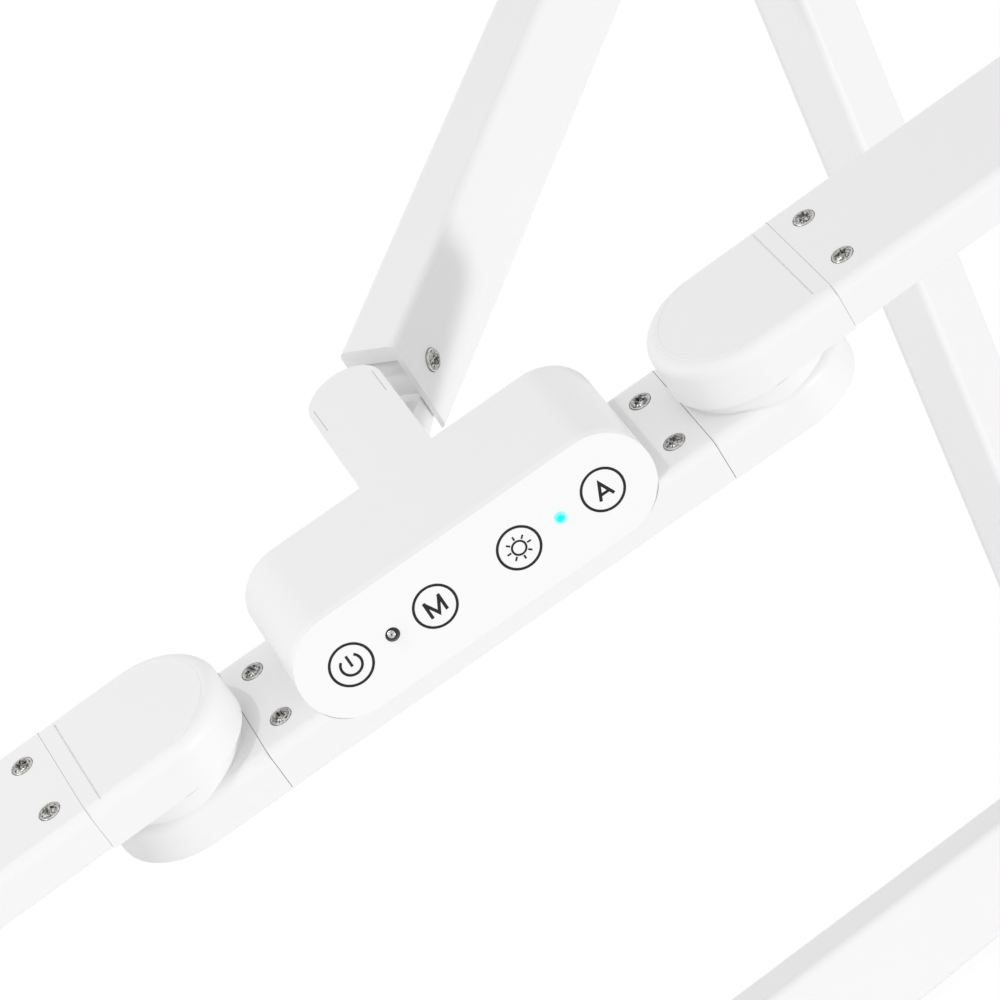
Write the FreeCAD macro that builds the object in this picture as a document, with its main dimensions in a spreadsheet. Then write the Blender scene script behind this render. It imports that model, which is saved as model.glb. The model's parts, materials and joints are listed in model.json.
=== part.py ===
"""Light therapy lamp: three hinged light bars on a two-part arm with a tee-shaped table base.

Row frame: origin under the middle of the front crossbar's rubber pad, +Z up, +Y to the back,
+X to the right. Millimetres. Every driving size stands once in SIZES and goes into the sheet.
"""
import FreeCAD, Part
import os
import re

import Sketcher
from FreeCAD import Placement, Rotation, Vector

os.makedirs("parts", exist_ok=True)

# Light bars and their lugs
BAR_SIZES = {
    "bar_depth": 36.4,
    "bar_height": 12.1,
    "bar_wall": 1.6,
    "bar_roof": 1.8,
    "bar_top_round": 2.6,
    "bar_bottom_round": 1.2,
    "rib_reach": 1.0,
    "rib_height": 1.0,
    "seam_reach": 58.7,
    "spigot_length": 15.0,
    "fit_slip": 0.15,
    "run_clearance": 0.05,
    "cut_over": 1.0,
    "swing_reach": 77.65,
    "nose_overhang": 1.45,
    "wing_underside": 3.1,
    "lug_gap": 0.4,
    "swing_washer_thick": 0.3,
    "swing_washer_radius": 11.0,
    "lug_top_round": 3.0,
    "lug_bottom_round": 0.8,
    "lug_groove_inset": 3.9,
    "lug_groove_width": 0.4,
    "lug_groove_depth": 0.4,
    "wing_seam_reach": 20.05,
    "wing_reach": 300.0,
    "wing_cap_thick": 2.5,
    "wing_cap_plug": 8.0,
    "swing_pin_radius": 4.0,
    "swing_pin_bore": 2.0,
    "swing_pin_grip": 8.0,
    "swing_head_radius": 7.0,
    "swing_head_thick": 1.6,
    "swing_head_recess": 3.0,
    "swing_head_play": 0.1,
    "lug_screw_inset": 6.6,
    "lug_screw_spread": 9.7,
    "screw_seat_radius": 2.7,
    "screw_seat_depth": 0.5,
    "screw_head_radius": 2.5,
    "screw_head_height": 1.2,
    "screw_head_edge": 0.5,
    "screw_crown_radius": 1.5,
    "screw_shank_radius": 1.25,
    "screw_shank_length": 7.0,
}

# Lighting inside the bars
LIGHT_SIZES = {
    "strip_width": 20.0,
    "strip_thick": 1.2,
    "chip_size": 3.0,
    "chip_rise": 0.8,
    "chip_pitch": 16.0,
    "chip_margin": 5.0,
    "diffuser_thick": 2.0,
    "diffuser_slip": 0.1,
}

# Control housing, its panel and the knuckle behind it
HOUSING_SIZES = {
    "panel_stand": 16.2,
    "panel_middle": 5.7,
    "panel_half_height": 12.4,
    "panel_half_length": 45.6,
    "panel_slope": 0.1926,
    "panel_thick": 2.0,
    "housing_back": 18.9,
    "housing_wall": 2.0,
    "housing_edge_round": 1.2,
    "notch_depth": 4.8,
    "notch_slip": 0.1,
    "key_pitch": 22.0,
    "board_half_length": 39.0,
    "board_half_height": 8.0,
    "board_thick": 1.2,
    "sensor_radius": 1.5,
    "sensor_proud": 0.4,
    "sensor_dome": 0.8,
    "indicator_radius": 1.1,
    "indicator_proud": 0.2,
    "indicator_dome": 0.2,
    "lens_crown": 0.6,
    "knuckle_reach": 51.0,
    "knuckle_half_width": 9.5,
    "knuckle_depth": 8.6,
    "knuckle_skin": 1.6,
    "bracket_foot_front": 8.0,
    "bracket_foot_thick": 3.0,
    "bracket_leg_front": 4.0,
    "bracket_leg_back": 11.0,
    "bracket_screw_spread": 5.0,
    "bracket_screw_inset": 5.0,
    "housing_screw_reach": 36.0,
    "housing_screw_back": 13.6,
    "housing_screw_grip": 6.0,
    "housing_boss_radius": 3.4,
    "housing_boss_height": 9.0,
}

# Swivel block between the head and the upper arm
HINGE_SIZES = {
    "tilt_offset": 23.05,
    "tilt_rise": 4.6,
    "post_radius": 7.0,
    "post_foot": 7.0,
    "swivel_pin_radius": 3.0,
    "swivel_pin_grip": 5.5,
    "swivel_head_radius": 5.0,
    "swivel_head_thick": 1.6,
    "swivel_head_recess": 2.2,
    "swivel_washer_thick": 0.4,
    "swivel_washer_gap": 0.5,
    "tilt_eye_radius": 8.0,
    "tilt_eye_width": 11.5,
    "neck_top": 1.5,
    "tilt_washer_thick": 0.35,
    "tilt_washer_radius": 6.5,
    "tilt_bolt_radius": 1.5,
    "tilt_bolt_head_radius": 2.8,
    "tilt_bolt_head_height": 1.1,
    "tilt_bolt_head_edge": 0.4,
    "tilt_bolt_crown_radius": 1.7,
    "tilt_nut_radius": 3.0,
    "tilt_nut_height": 1.6,
}

# Arm tubes and their end fittings
ARM_SIZES = {
    "tube_width": 15.3,
    "tube_height": 27.1,
    "tube_wall": 1.5,
    "tube_round": 2.0,
    "upper_reach": 241.0,
    "lower_reach": 314.0,
    "upper_front": 6.8,
    "collar_rim": 1.9,
    "collar_band": 4.5,
    "collar_tab": 10.0,
    "relief_reach": 10.0,
    "bolt_radius": 3.0,
    "bolt_head_radius": 4.6,
    "bolt_head_height": 1.6,
    "bolt_head_edge": 0.6,
    "bolt_crown_radius": 2.8,
    "nut_radius": 4.6,
    "nut_height": 1.8,
    "tongue_setback": 31.0,
    "foot_setback": 16.0,
    "tongue_flange": 2.0,
    "tongue_width": 9.0,
    "tongue_eye_radius": 10.5,
    "neck_half_height": 8.0,
    "neck_root_half": 11.5,
    "neck_taper_reach": 6.0,
    "plug_length": 25.0,
    "fork_gap": 9.8,
    "fork_setback": 26.0,
    "fork_throat_radius": 11.6,
    "fork_throat_front": 24.0,
    "eye_washer_thick": 0.35,
    "eye_washer_radius": 8.0,
}

# Table base
BASE_SIZES = {
    "rail_width": 13.0,
    "rail_height": 29.0,
    "rail_wall": 1.5,
    "rail_round": 2.0,
    "pad_thick": 3.0,
    "pad_width": 9.0,
    "crossbar_half_length": 150.0,
    "crossbar_pad_inset": 12.0,
    "rear_pad_length": 60.0,
    "rear_pad_inset": 8.0,
    "spine_back": 442.0,
    "foot_back": 413.7,
    "foot_rise": 61.5,
    "saddle_half_length": 24.0,
    "saddle_thick": 4.0,
    "saddle_slip": 0.05,
    "saddle_cheek": 3.0,
    "saddle_drop": 12.0,
    "ear_radius": 11.0,
    "ear_thick": 4.0,
    "ear_root_half": 18.0,
    "saddle_screw_spread": 15.0,
    "end_cap_thick": 2.5,
    "end_cap_plug": 10.0,
    "tee_block_length": 25.0,
    "tee_screw_spread": 7.0,
    "tee_screw_length": 22.0,
    "weight_gap": 14.0,
    "weight_slack": 1.0,
    "weight_end_gap": 2.0,
    "spine_weight_gap": 8.5,
    "inlet_rise": 16.0,
    "inlet_shell_radius": 4.2,
    "inlet_bore_radius": 2.8,
    "inlet_pin_radius": 1.0,
    "inlet_length": 11.0,
    "inlet_depth": 9.0,
    "inlet_rim": 0.8,
}

# How the lamp stands in its rest pose, in degrees
POSE_ANGLES = {
    "lower_lean": 22.36,
    "arm_slope": 33.35,
    "arm_azimuth": 42.75,
    "right_wing_yaw": 1.08,
    "left_wing_yaw": 1.83,
}

SIZES = {}
for family in (BAR_SIZES, LIGHT_SIZES, HOUSING_SIZES, HINGE_SIZES, ARM_SIZES, BASE_SIZES, POSE_ANGLES):
    SIZES.update(family)

doc = FreeCAD.newDocument("LightTherapyLamp")
sheet = doc.addObject("Spreadsheet::Sheet", "Sizes")
for row, (alias, value) in enumerate(SIZES.items(), start=1):
    sheet.set("A%d" % row, alias.replace("_", " "))
    sheet.set("B%d" % row, str(value))
    sheet.setAlias("B%d" % row, alias)
doc.recompute()

ALIAS = re.compile(r"[a-z]+(?:_[a-z]+)+")
EPS = 1e-4
nodes = []


def number(formula):
    """Return the value, in millimetres, of a formula written with the sheet's aliases."""
    text = ALIAS.sub(lambda found: repr(SIZES[found.group()]), formula)
    return FreeCAD.Units.parseQuantity(text).Value


def bound(formula):
    """Return the same formula as an expression that reads the sheet."""
    return ALIAS.sub(lambda found: "Sizes." + found.group(), formula)


def rect(low_x, high_x, low_y, high_y):
    """Return a rectangle's corners as formulas."""
    return [(low_x, low_y), (high_x, low_y), (high_x, high_y), (low_x, high_y)]


def circle(x, y, radius):
    """Return a circle as formulas."""
    return {"x": x, "y": y, "radius": radius}


class Piece:
    """One sub-part: a body with sketches, pads, pockets, turned steps and fillets."""

    AXIS = {"YZ_Plane": Vector(1, 0, 0), "XZ_Plane": Vector(0, 1, 0), "XY_Plane": Vector(0, 0, 1)}

    def __init__(self, label, placement=None):
        self.body = doc.addObject("PartDesign::Body", label)
        self.body.Label = label
        self.placement = placement or Placement()
        nodes.append(self.body)

    def sketch(self, plane, loops, offset="0"):
        """Draw the loops on one of the body's own planes, every point tied to the sheet."""
        drawn = self.body.newObject("Sketcher::SketchObject", self.body.Label + "_sketch")
        support = [o for o in self.body.Origin.OriginFeatures if o.Role == plane][0]
        drawn.AttachmentSupport = [(support, "")]
        drawn.MapMode = "FlatFace"
        drawn.setExpression("AttachmentOffset.Base.z", bound(offset))
        for loop in loops:
            if isinstance(loop, dict):
                self.draw_circle(drawn, loop)
            else:
                self.draw_polygon(drawn, loop)
        drawn.recompute()
        return drawn

    @staticmethod
    def tie(drawn, kind, geometry, vertex, formula):
        """Hold one coordinate of a sketch point at a formula's value."""
        rule = Sketcher.Constraint(kind, -1, 1, geometry, vertex, number(formula))
        index = drawn.addConstraint(rule)
        drawn.setExpression("Constraints[%d]" % index, bound(formula))

    def draw_polygon(self, drawn, corners):
        """Add a closed chain of straight lines."""
        points = [Vector(number(x), number(y), 0) for x, y in corners]
        count = len(points)
        first = drawn.GeometryCount
        for i in range(count):
            drawn.addGeometry(Part.LineSegment(points[i], points[(i + 1) % count]), False)
        for i in range(count):
            after = first + (i + 1) % count
            drawn.addConstraint(Sketcher.Constraint("Coincident", first + i, 2, after, 1))
        for i, (x, y) in enumerate(corners):
            self.tie(drawn, "DistanceX", first + i, 1, x)
            self.tie(drawn, "DistanceY", first + i, 1, y)

    def draw_circle(self, drawn, loop):
        """Add a circle."""
        centre = Vector(number(loop["x"]), number(loop["y"]), 0)
        radius = number(loop["radius"])
        index = drawn.addGeometry(Part.Circle(centre, Vector(0, 0, 1), radius), False)
        self.tie(drawn, "DistanceX", index, 3, loop["x"])
        self.tie(drawn, "DistanceY", index, 3, loop["y"])
        rule = drawn.addConstraint(Sketcher.Constraint("Radius", index, radius))
        drawn.setExpression("Constraints[%d]" % rule, bound(loop["radius"]))

    def extrude(self, kind, plane, loops, low, high):
        """Add or cut the loops between two levels along the plane's axis."""
        offset = "-(%s)" % high if plane == "XZ_Plane" else low
        drawn = self.sketch(plane, loops, offset)
        before = self.body.Shape.Volume if self.body.Tip else 0.0
        feature = self.body.newObject("PartDesign::" + kind, self.body.Label + "_" + kind.lower())
        feature.Profile = drawn
        feature.setExpression("Length", bound("(%s) - (%s)" % (high, low)))
        feature.Reversed = kind == "Pocket"
        self.settle(feature)
        change = self.body.Shape.Volume - before
        if abs(change) < EPS or (change < 0) != (kind == "Pocket"):
            raise ValueError("%s: a %s changes nothing" % (self.body.Label, kind))
        return self

    def pad(self, plane, loops, low, high):
        """Add material."""
        return self.extrude("Pad", plane, loops, low, high)

    def pocket(self, plane, loops, low, high):
        """Cut material away."""
        return self.extrude("Pocket", plane, loops, low, high)

    def turn(self, corners):
        """Turn a half section, given as radius and height, about the Z axis."""
        drawn = self.sketch("XZ_Plane", [corners])
        feature = self.body.newObject("PartDesign::Revolution", self.body.Label + "_turned")
        feature.Profile = drawn
        feature.ReferenceAxis = (drawn, ["V_Axis"])
        feature.Angle = 360.0
        return self.settle(feature)

    def fillet(self, radius, wanted):
        """Round the edges that pass a test, each given as its middle point and direction."""
        shape = self.body.Tip.Shape
        names = []
        for i, edge in enumerate(shape.Edges, start=1):
            middle = edge.valueAt((edge.FirstParameter + edge.LastParameter) / 2)
            along = edge.tangentAt((edge.FirstParameter + edge.LastParameter) / 2)
            if wanted(middle, along, edge):
                names.append("Edge%d" % i)
        if not names:
            raise ValueError("%s: no edge to round" % self.body.Label)
        base = self.body.Tip
        feature = self.body.newObject("PartDesign::Fillet", self.body.Label + "_fillet")
        feature.Base = (base, names)
        feature.setExpression("Radius", bound(radius))
        return self.settle(feature)

    def repeat(self, count, pitch):
        """Repeat the last feature in a row along X."""
        source = self.body.Tip
        feature = self.body.newObject("PartDesign::LinearPattern", self.body.Label + "_row")
        feature.Originals = [source]
        axis = [o for o in self.body.Origin.OriginFeatures if o.Role == "X_Axis"][0]
        feature.Direction = (axis, [""])
        feature.Occurrences = count
        feature.setExpression("Length", bound("%d * (%s)" % (count - 1, pitch)))
        self.body.Tip = feature
        return self.settle(feature)

    def settle(self, feature):
        """Work out a new feature and the body that holds it."""
        feature.recompute()
        self.body.recompute()
        return self

    def place(self, extra=None):
        """Put the finished piece where it belongs."""
        self.body.Placement = self.placement.multiply(extra) if extra else self.placement
        return self


def shift(x=0.0, y=0.0, z=0.0):
    """Return a plain move."""
    return Placement(Vector(x, y, z), Rotation())


def turned(axis, degrees):
    """Return a plain turn about an axis through the origin."""
    return Placement(Vector(), Rotation(Vector(*axis), degrees))


AXIS_X = (1, 0, 0)
AXIS_Y = (0, 1, 0)
AXIS_Z = (0, 0, 1)


def copies(source, places):
    """Return a piece's solid once at each place, and keep the piece itself out of the nodes."""
    if source.body in nodes:
        nodes.remove(source.body)
    source.body.Label = source.body.Name + "_pattern"
    solids = []
    for place in places:
        solid = source.body.Tip.Shape.copy()
        solid.Placement = place.multiply(solid.Placement)
        solids.append(solid)
    return solids


def group(label, solids):
    """Make one node of several loose solids of one kind, such as a set of screws."""
    node = doc.addObject("Part::Feature", label)
    node.Label = label
    node.Shape = Part.makeCompound(solids)
    nodes.append(node)
    return node


# Frames of the moving bodies in the rest pose
S = SIZES
LOWER = shift(y=S["foot_back"], z=S["foot_rise"]).multiply(turned(AXIS_X, S["lower_lean"]))
ELBOW = LOWER.multVec(Vector(0, 0, S["lower_reach"]))
SLOPE = turned(AXIS_X, S["arm_slope"])
UPPER = Placement(ELBOW, SLOPE.Rotation).multiply(shift(y=-S["upper_reach"]))
NECK = UPPER.multiply(shift(y=-S["tilt_offset"], z=-S["tilt_rise"]))
HEAD = NECK.multiply(turned(AXIS_Z, S["arm_azimuth"])).multiply(shift(y=-S["knuckle_reach"]))
RIGHT_WING = HEAD.multiply(shift(x=S["swing_reach"])).multiply(turned(AXIS_Z, S["right_wing_yaw"]))
LEFT_WING = HEAD.multiply(shift(x=-S["swing_reach"])).multiply(
    turned(AXIS_Z, 180.0 + S["left_wing_yaw"])
)

# Formulas that several pieces share
BAR_HALF = "bar_depth / 2"
CAVITY_HALF = "bar_depth / 2 - bar_wall"
SPIGOT_HALF = "bar_depth / 2 - bar_wall - rib_reach - fit_slip"
WING_TOP = "wing_underside + bar_height"
HOUSING_TOP = "panel_middle + panel_half_height"
HOUSING_FOOT = "panel_middle - panel_half_height"
KNUCKLE_FOOT = "panel_middle + panel_half_height - knuckle_depth"
KNUCKLE_ROOF = "panel_middle + panel_half_height - knuckle_skin"
STADIUM_STRAIGHT = "panel_half_length - panel_half_height"
WELL_IN_FRONT = "-1.5 * panel_stand"
WELL_BEHIND = "3 * panel_stand"
PANEL_REACH = "panel_half_length + cut_over"
NOTCH_BACK = "-bar_depth / 2 + notch_depth"


def runs_along(axis):
    """Return a test for straight edges along an axis."""
    def test(middle, along, edge):
        return abs(abs(along.dot(axis)) - 1) < EPS and edge.Curve.TypeId == "Part::GeomLine"
    return test


def bar_profile(top):
    """Return a light bar's outline and channel, open below, with two ribs over the diffuser."""
    floor = "(%s) - bar_height" % top
    rib_low = "(%s) - bar_height + diffuser_thick + diffuser_slip" % top
    rib_high = "(%s) - bar_height + diffuser_thick + diffuser_slip + rib_height" % top
    roof = "(%s) - bar_roof" % top
    inner = CAVITY_HALF
    rib = "%s - rib_reach" % CAVITY_HALF
    right = [("-(%s)" % BAR_HALF, floor), ("-(%s)" % inner, floor), ("-(%s)" % inner, rib_low)]
    right += [("-(%s)" % rib, rib_low), ("-(%s)" % rib, rib_high), ("-(%s)" % inner, rib_high)]
    right += [("-(%s)" % inner, roof)]
    left = [(inner, roof), (inner, rib_high), (rib, rib_high), (rib, rib_low)]
    left += [(inner, rib_low), (inner, floor), (BAR_HALF, floor)]
    return right + left + [(BAR_HALF, top), ("-(%s)" % BAR_HALF, top)]


def light_bar(label, placement, low, high, top, screw_rows):
    """Make an extruded bar with rounded long edges and the seats of its lug screws."""
    bar = Piece(label, placement)
    bar.pad("YZ_Plane", [bar_profile(top)], low, high)
    along = runs_along(Vector(1, 0, 0))
    half = number(BAR_HALF)
    crown = number(top)

    def top_edge(middle, direction, edge):
        at_corner = abs(abs(middle.y) - half) < EPS and abs(middle.z - crown) < EPS
        return along(middle, direction, edge) and at_corner

    def bottom_edge(middle, direction, edge):
        at_corner = abs(abs(middle.y) - half) < EPS and middle.z < crown - half / 2
        return along(middle, direction, edge) and at_corner

    bar.fillet("bar_top_round", top_edge)
    bar.fillet("bar_bottom_round", bottom_edge)
    seats = []
    holes = []
    for x in screw_rows:
        for y in ("lug_screw_spread", "-lug_screw_spread"):
            seats.append(circle(x, y, "screw_seat_radius"))
            holes.append(circle(x, y, "screw_shank_radius + fit_slip"))
    bar.pocket("XY_Plane", seats, "(%s) - screw_seat_depth" % top, top)
    bar.pocket("XY_Plane", holes, "(%s) - bar_roof" % top, top)
    return bar


def pan_screw(label, shank="screw_shank_length"):
    """Make a pan-head screw standing on the seat at the origin, its shank down."""
    screw = Piece(label)
    head = [("0", "-(%s)" % shank), ("screw_shank_radius", "-(%s)" % shank)]
    head += [("screw_shank_radius", "0"), ("screw_head_radius", "0")]
    head += [("screw_head_radius", "screw_head_edge"), ("screw_crown_radius", "screw_head_height")]
    head += [("0", "screw_head_height")]
    return screw.turn(head)


def led_strip(label, placement, low, high, top):
    """Make a strip board under the bar's roof with a row of light chips on its lower face."""
    strip = Piece(label, placement)
    board_top = "(%s) - bar_roof" % top
    board_low = "(%s) - bar_roof - strip_thick" % top
    strip.pad("XY_Plane", [rect(low, high, "-strip_width / 2", "strip_width / 2")], board_low, board_top)
    row_start = "(%s) + chip_margin" % low
    run = number("(%s) - (%s) - 2 * chip_margin - chip_size" % (high, low))
    row_end = "%s + chip_size" % row_start
    chips = [rect(row_start, row_end, "%s - chip_size / 2" % y, "%s + chip_size / 2" % y)
             for y in ("strip_width / 4", "-strip_width / 4")]
    strip.pad("XY_Plane", chips, "%s - chip_rise" % board_low, board_low)
    strip.repeat(int(run / S["chip_pitch"]) + 1, "chip_pitch")
    return strip.place()


def diffuser(label, placement, low, high, top):
    """Make the milky cover that closes a bar's channel."""
    cover = Piece(label, placement)
    half = "%s - diffuser_slip" % CAVITY_HALF
    floor = "(%s) - bar_height" % top
    cover.pad("XY_Plane", [rect(low, high, "-(%s)" % half, half)], floor, floor + " + diffuser_thick")
    return cover.place()


# Central bar
INNER_SPIGOT_END = "seam_reach - spigot_length"
NEAR_SCREWS = "seam_reach - lug_screw_inset"
central_bar = light_bar("central_bar", HEAD, "-seam_reach", "seam_reach", "0",
                        (NEAR_SCREWS, "-(%s)" % NEAR_SCREWS))
NOTCH = "%s + notch_slip" % STADIUM_STRAIGHT
NOTCH_RADIUS = "panel_half_height + notch_slip"
central_bar.pocket("XZ_Plane", [rect("-(%s)" % STADIUM_STRAIGHT, STADIUM_STRAIGHT,
                                     "%s - notch_slip" % HOUSING_FOOT, "cut_over")],
                   "-bar_depth", NOTCH_BACK)
for side in ("", "-"):
    central_bar.pocket("XZ_Plane", [circle("%s(%s)" % (side, STADIUM_STRAIGHT), "panel_middle",
                                           NOTCH_RADIUS)], "-bar_depth", NOTCH_BACK)
bracket_holes = []
for x in ("bracket_screw_spread", "-bracket_screw_spread"):
    bracket_holes.append(circle(x, "bracket_leg_front - bracket_screw_inset",
                                "screw_shank_radius + fit_slip"))
for x in ("housing_screw_reach", "-housing_screw_reach"):
    bracket_holes.append(circle(x, "housing_screw_back", "screw_shank_radius + fit_slip"))
central_bar.pocket("XY_Plane", bracket_holes, "-bar_roof", "0")
central_bar.place()

LIT_HALF = "%s - fit_slip" % INNER_SPIGOT_END
led_strip("central_led_strip", HEAD, "-(%s)" % LIT_HALF, LIT_HALF, "0")
diffuser("central_diffuser", HEAD, "-(%s)" % LIT_HALF, LIT_HALF, "0")


def rim_edges(level, nose_x, radius, outboard):
    """Return a test for the flat outline edges of a lug at a level, its seam side left sharp."""
    def test(middle, along, edge):
        at_level = abs(middle.z - level) < EPS
        on_flank = abs(abs(middle.y) - radius) < EPS and abs(abs(along.x) - 1) < EPS
        reach = Vector(middle.x - nose_x, middle.y, 0).Length
        on_nose = abs(reach - radius) < EPS and (middle.x - nose_x) * outboard > -EPS
        return at_level and (on_flank or on_nose)
    return test


def inner_lug(label, placement):
    """Make the lower lug at an end of the central bar, drawn with the seam at the left."""
    lug = Piece(label, placement)
    seam = "seam_reach - swing_reach"
    flank = rect(seam, "nose_overhang", "-(%s)" % BAR_HALF, BAR_HALF)
    lug.pad("XY_Plane", [flank], "-bar_height", "0")
    lug.pad("XY_Plane", [circle("nose_overhang", "0", BAR_HALF)], "-bar_height", "0")
    half = number(BAR_HALF)
    nose = S["nose_overhang"]
    lug.fillet("lug_top_round", rim_edges(0.0, nose, half, 1))
    lug.fillet("lug_bottom_round", rim_edges(-S["bar_height"], nose, half, 1))
    lug.pad("XY_Plane", [circle("0", "0", "%s - lug_gap" % BAR_HALF)], "-bar_height / 2",
            "wing_underside - lug_gap")
    lug.pad("XY_Plane", [rect("%s - spigot_length" % seam, seam, "-(%s)" % SPIGOT_HALF, SPIGOT_HALF)],
            "-bar_height", "-bar_roof")
    lug.pocket("XY_Plane", [circle("0", "0", "swing_pin_radius + run_clearance")],
               "-bar_height", "wing_underside")
    lug.pocket("XY_Plane", [circle("0", "0", "swing_head_radius + fit_slip")],
               "-bar_height", "-bar_height + swing_head_recess")
    holes = [circle("%s - lug_screw_inset" % seam, y, "screw_shank_radius + run_clearance")
             for y in ("lug_screw_spread", "-lug_screw_spread")]
    lug.pocket("XY_Plane", holes, "-screw_shank_length - cut_over", "-bar_roof")
    return lug.place()


inner_lug("right_inner_lug", HEAD.multiply(shift(x=S["swing_reach"])))
inner_lug("left_inner_lug", HEAD.multiply(shift(x=-S["swing_reach"])).multiply(turned(AXIS_Z, 180)))

seat_level = -S["screw_seat_depth"]
screw_x = S["seam_reach"] - S["lug_screw_inset"]
screw_y = S["lug_screw_spread"]
corners = [shift(sx * screw_x, sy * screw_y, seat_level) for sx in (-1, 1) for sy in (-1, 1)]
group("lug_screws", copies(pan_screw("lug_screw"), [HEAD.multiply(corner) for corner in corners]))


def stadium(piece, grow, low, high, kind="pad"):
    """Add or cut the housing's stadium outline, grown by a distance, between two depths."""
    half = "panel_half_height + (%s)" % grow
    box = rect("-(%s)" % STADIUM_STRAIGHT, STADIUM_STRAIGHT, "panel_middle - (%s)" % half,
               "panel_middle + (%s)" % half)
    work = getattr(piece, kind)
    work("XZ_Plane", [box], low, high)
    for side in ("", "-"):
        centre = "%s(%s)" % (side, STADIUM_STRAIGHT)
        work("XZ_Plane", [circle(centre, "panel_middle", half)], low, high)


def slope_line(depth, level):
    """Return the depth of a plane parallel to the panel's face at a level."""
    return "-panel_stand + (%s) + ((%s) - panel_middle) * panel_slope" % (depth, level)


def cut_to_slope(piece, depth, far):
    """Cut away what lies between a plane parallel to the panel's face and a level far from it."""
    low = "panel_middle - 2 * panel_half_height"
    high = "panel_middle + 2 * panel_half_height"
    wedge = [(far, low), (slope_line(depth, low), low), (slope_line(depth, high), high), (far, high)]
    piece.pocket("YZ_Plane", [wedge], "-(%s)" % PANEL_REACH, PANEL_REACH)


def cut_in_front(piece, depth):
    """Cut away what lies in front of a plane parallel to the panel's face."""
    cut_to_slope(piece, depth, "-(%s)" % WELL_BEHIND)


def cut_behind(piece, depth):
    """Cut away what lies behind a plane parallel to the panel's face."""
    cut_to_slope(piece, depth, WELL_BEHIND)


# Control housing with the knuckle moulded on its back
housing = Piece("control_housing", HEAD)
stadium(housing, "0", WELL_IN_FRONT, "housing_back")


def back_outline(middle, along, edge):
    """Tell the edges round the back face of the housing."""
    return abs(middle.y - S["housing_back"]) < EPS


housing.fillet("housing_edge_round", back_outline)
housing.pad("XY_Plane", [rect("-knuckle_half_width", "knuckle_half_width", "0", "knuckle_reach")],
            KNUCKLE_FOOT, HOUSING_TOP)
housing.pad("XY_Plane", [circle("0", "knuckle_reach", "knuckle_half_width")], KNUCKLE_FOOT, HOUSING_TOP)
cut_in_front(housing, "panel_thick")
stadium(housing, "-housing_wall", WELL_IN_FRONT, "housing_back - housing_wall", "pocket")
housing.pocket("YZ_Plane", [rect("%s - notch_slip" % NOTCH_BACK, "2 * housing_back",
                                 "2 * (%s)" % HOUSING_FOOT, "0")],
               "-(%s)" % PANEL_REACH, PANEL_REACH)
housing.pocket("XY_Plane", [rect("-knuckle_half_width + knuckle_skin",
                                 "knuckle_half_width - knuckle_skin", "0", "knuckle_reach")],
               "%s - cut_over" % KNUCKLE_FOOT, KNUCKLE_ROOF)
housing.pocket("XY_Plane", [circle("0", "knuckle_reach", "knuckle_half_width - knuckle_skin")],
               "%s - cut_over" % KNUCKLE_FOOT, KNUCKLE_ROOF)
for x in ("housing_screw_reach", "-housing_screw_reach"):
    housing.pad("XY_Plane", [circle(x, "housing_screw_back", "housing_boss_radius")],
                "0", "housing_boss_height")
    housing.pocket("XY_Plane", [circle(x, "housing_screw_back", "screw_shank_radius + run_clearance")],
                   "0", "housing_screw_grip + cut_over")
housing.place()

# Control panel, touch board and the two small lenses
panel = Piece("control_panel", HEAD)
stadium(panel, "0", WELL_IN_FRONT, "0")
cut_in_front(panel, "0")
cut_behind(panel, "panel_thick")
panel_holes = [circle("-key_pitch", "panel_middle", "sensor_radius + run_clearance"),
               circle("key_pitch", "panel_middle", "indicator_radius + run_clearance")]
panel.pocket("XZ_Plane", panel_holes, "-2 * panel_stand", "0")
panel.place()

board = Piece("touch_board", HEAD)
board.pad("XZ_Plane", [rect("-board_half_length", "board_half_length",
                            "panel_middle - board_half_height", "panel_middle + board_half_height")],
          WELL_IN_FRONT, "0")
cut_in_front(board, "panel_thick")
cut_behind(board, "panel_thick + board_thick")
board.place()


def lens(label, x, radius, proud, dome):
    """Make a small domed lens in a hole of the panel, its foot clear of the leaning board."""
    piece = Piece(label, HEAD)
    foot = "panel_slope * %s + fit_slip" % radius
    rim = "panel_thick + %s" % proud
    crown = "panel_thick + %s + %s" % (proud, dome)
    dome_edge = "%s * lens_crown" % radius
    piece.turn([("0", foot), (radius, foot), (radius, rim), (dome_edge, crown), ("0", crown)])
    place = shift(x=x, y=-S["panel_stand"] + S["panel_thick"], z=S["panel_middle"])
    return piece.place(place.multiply(turned(AXIS_X, 90)))


lens("sensor_lens", -S["key_pitch"], "sensor_radius", "sensor_proud", "sensor_dome")
lens("indicator_lens", S["key_pitch"], "indicator_radius", "indicator_proud", "indicator_dome")

# Knuckle bracket inside the housing
BRACKET_HALF = "knuckle_half_width - knuckle_skin - fit_slip"
BRACKET_ROOF = "%s - fit_slip" % KNUCKLE_ROOF
bracket = Piece("knuckle_bracket", HEAD)
bracket.pad("XY_Plane", [rect("-(%s)" % BRACKET_HALF, BRACKET_HALF, "bracket_leg_front", "knuckle_reach")],
            KNUCKLE_FOOT, BRACKET_ROOF)
bracket.pad("XY_Plane", [circle("0", "knuckle_reach", BRACKET_HALF)], KNUCKLE_FOOT, BRACKET_ROOF)
bracket.pad("YZ_Plane", [rect("bracket_leg_front", "bracket_leg_back", "0", BRACKET_ROOF)],
            "-(%s)" % BRACKET_HALF, BRACKET_HALF)
bracket.pad("YZ_Plane", [rect("bracket_leg_front - bracket_foot_front", "bracket_leg_back",
                              "0", "bracket_foot_thick")], "-(%s)" % BRACKET_HALF, BRACKET_HALF)
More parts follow.
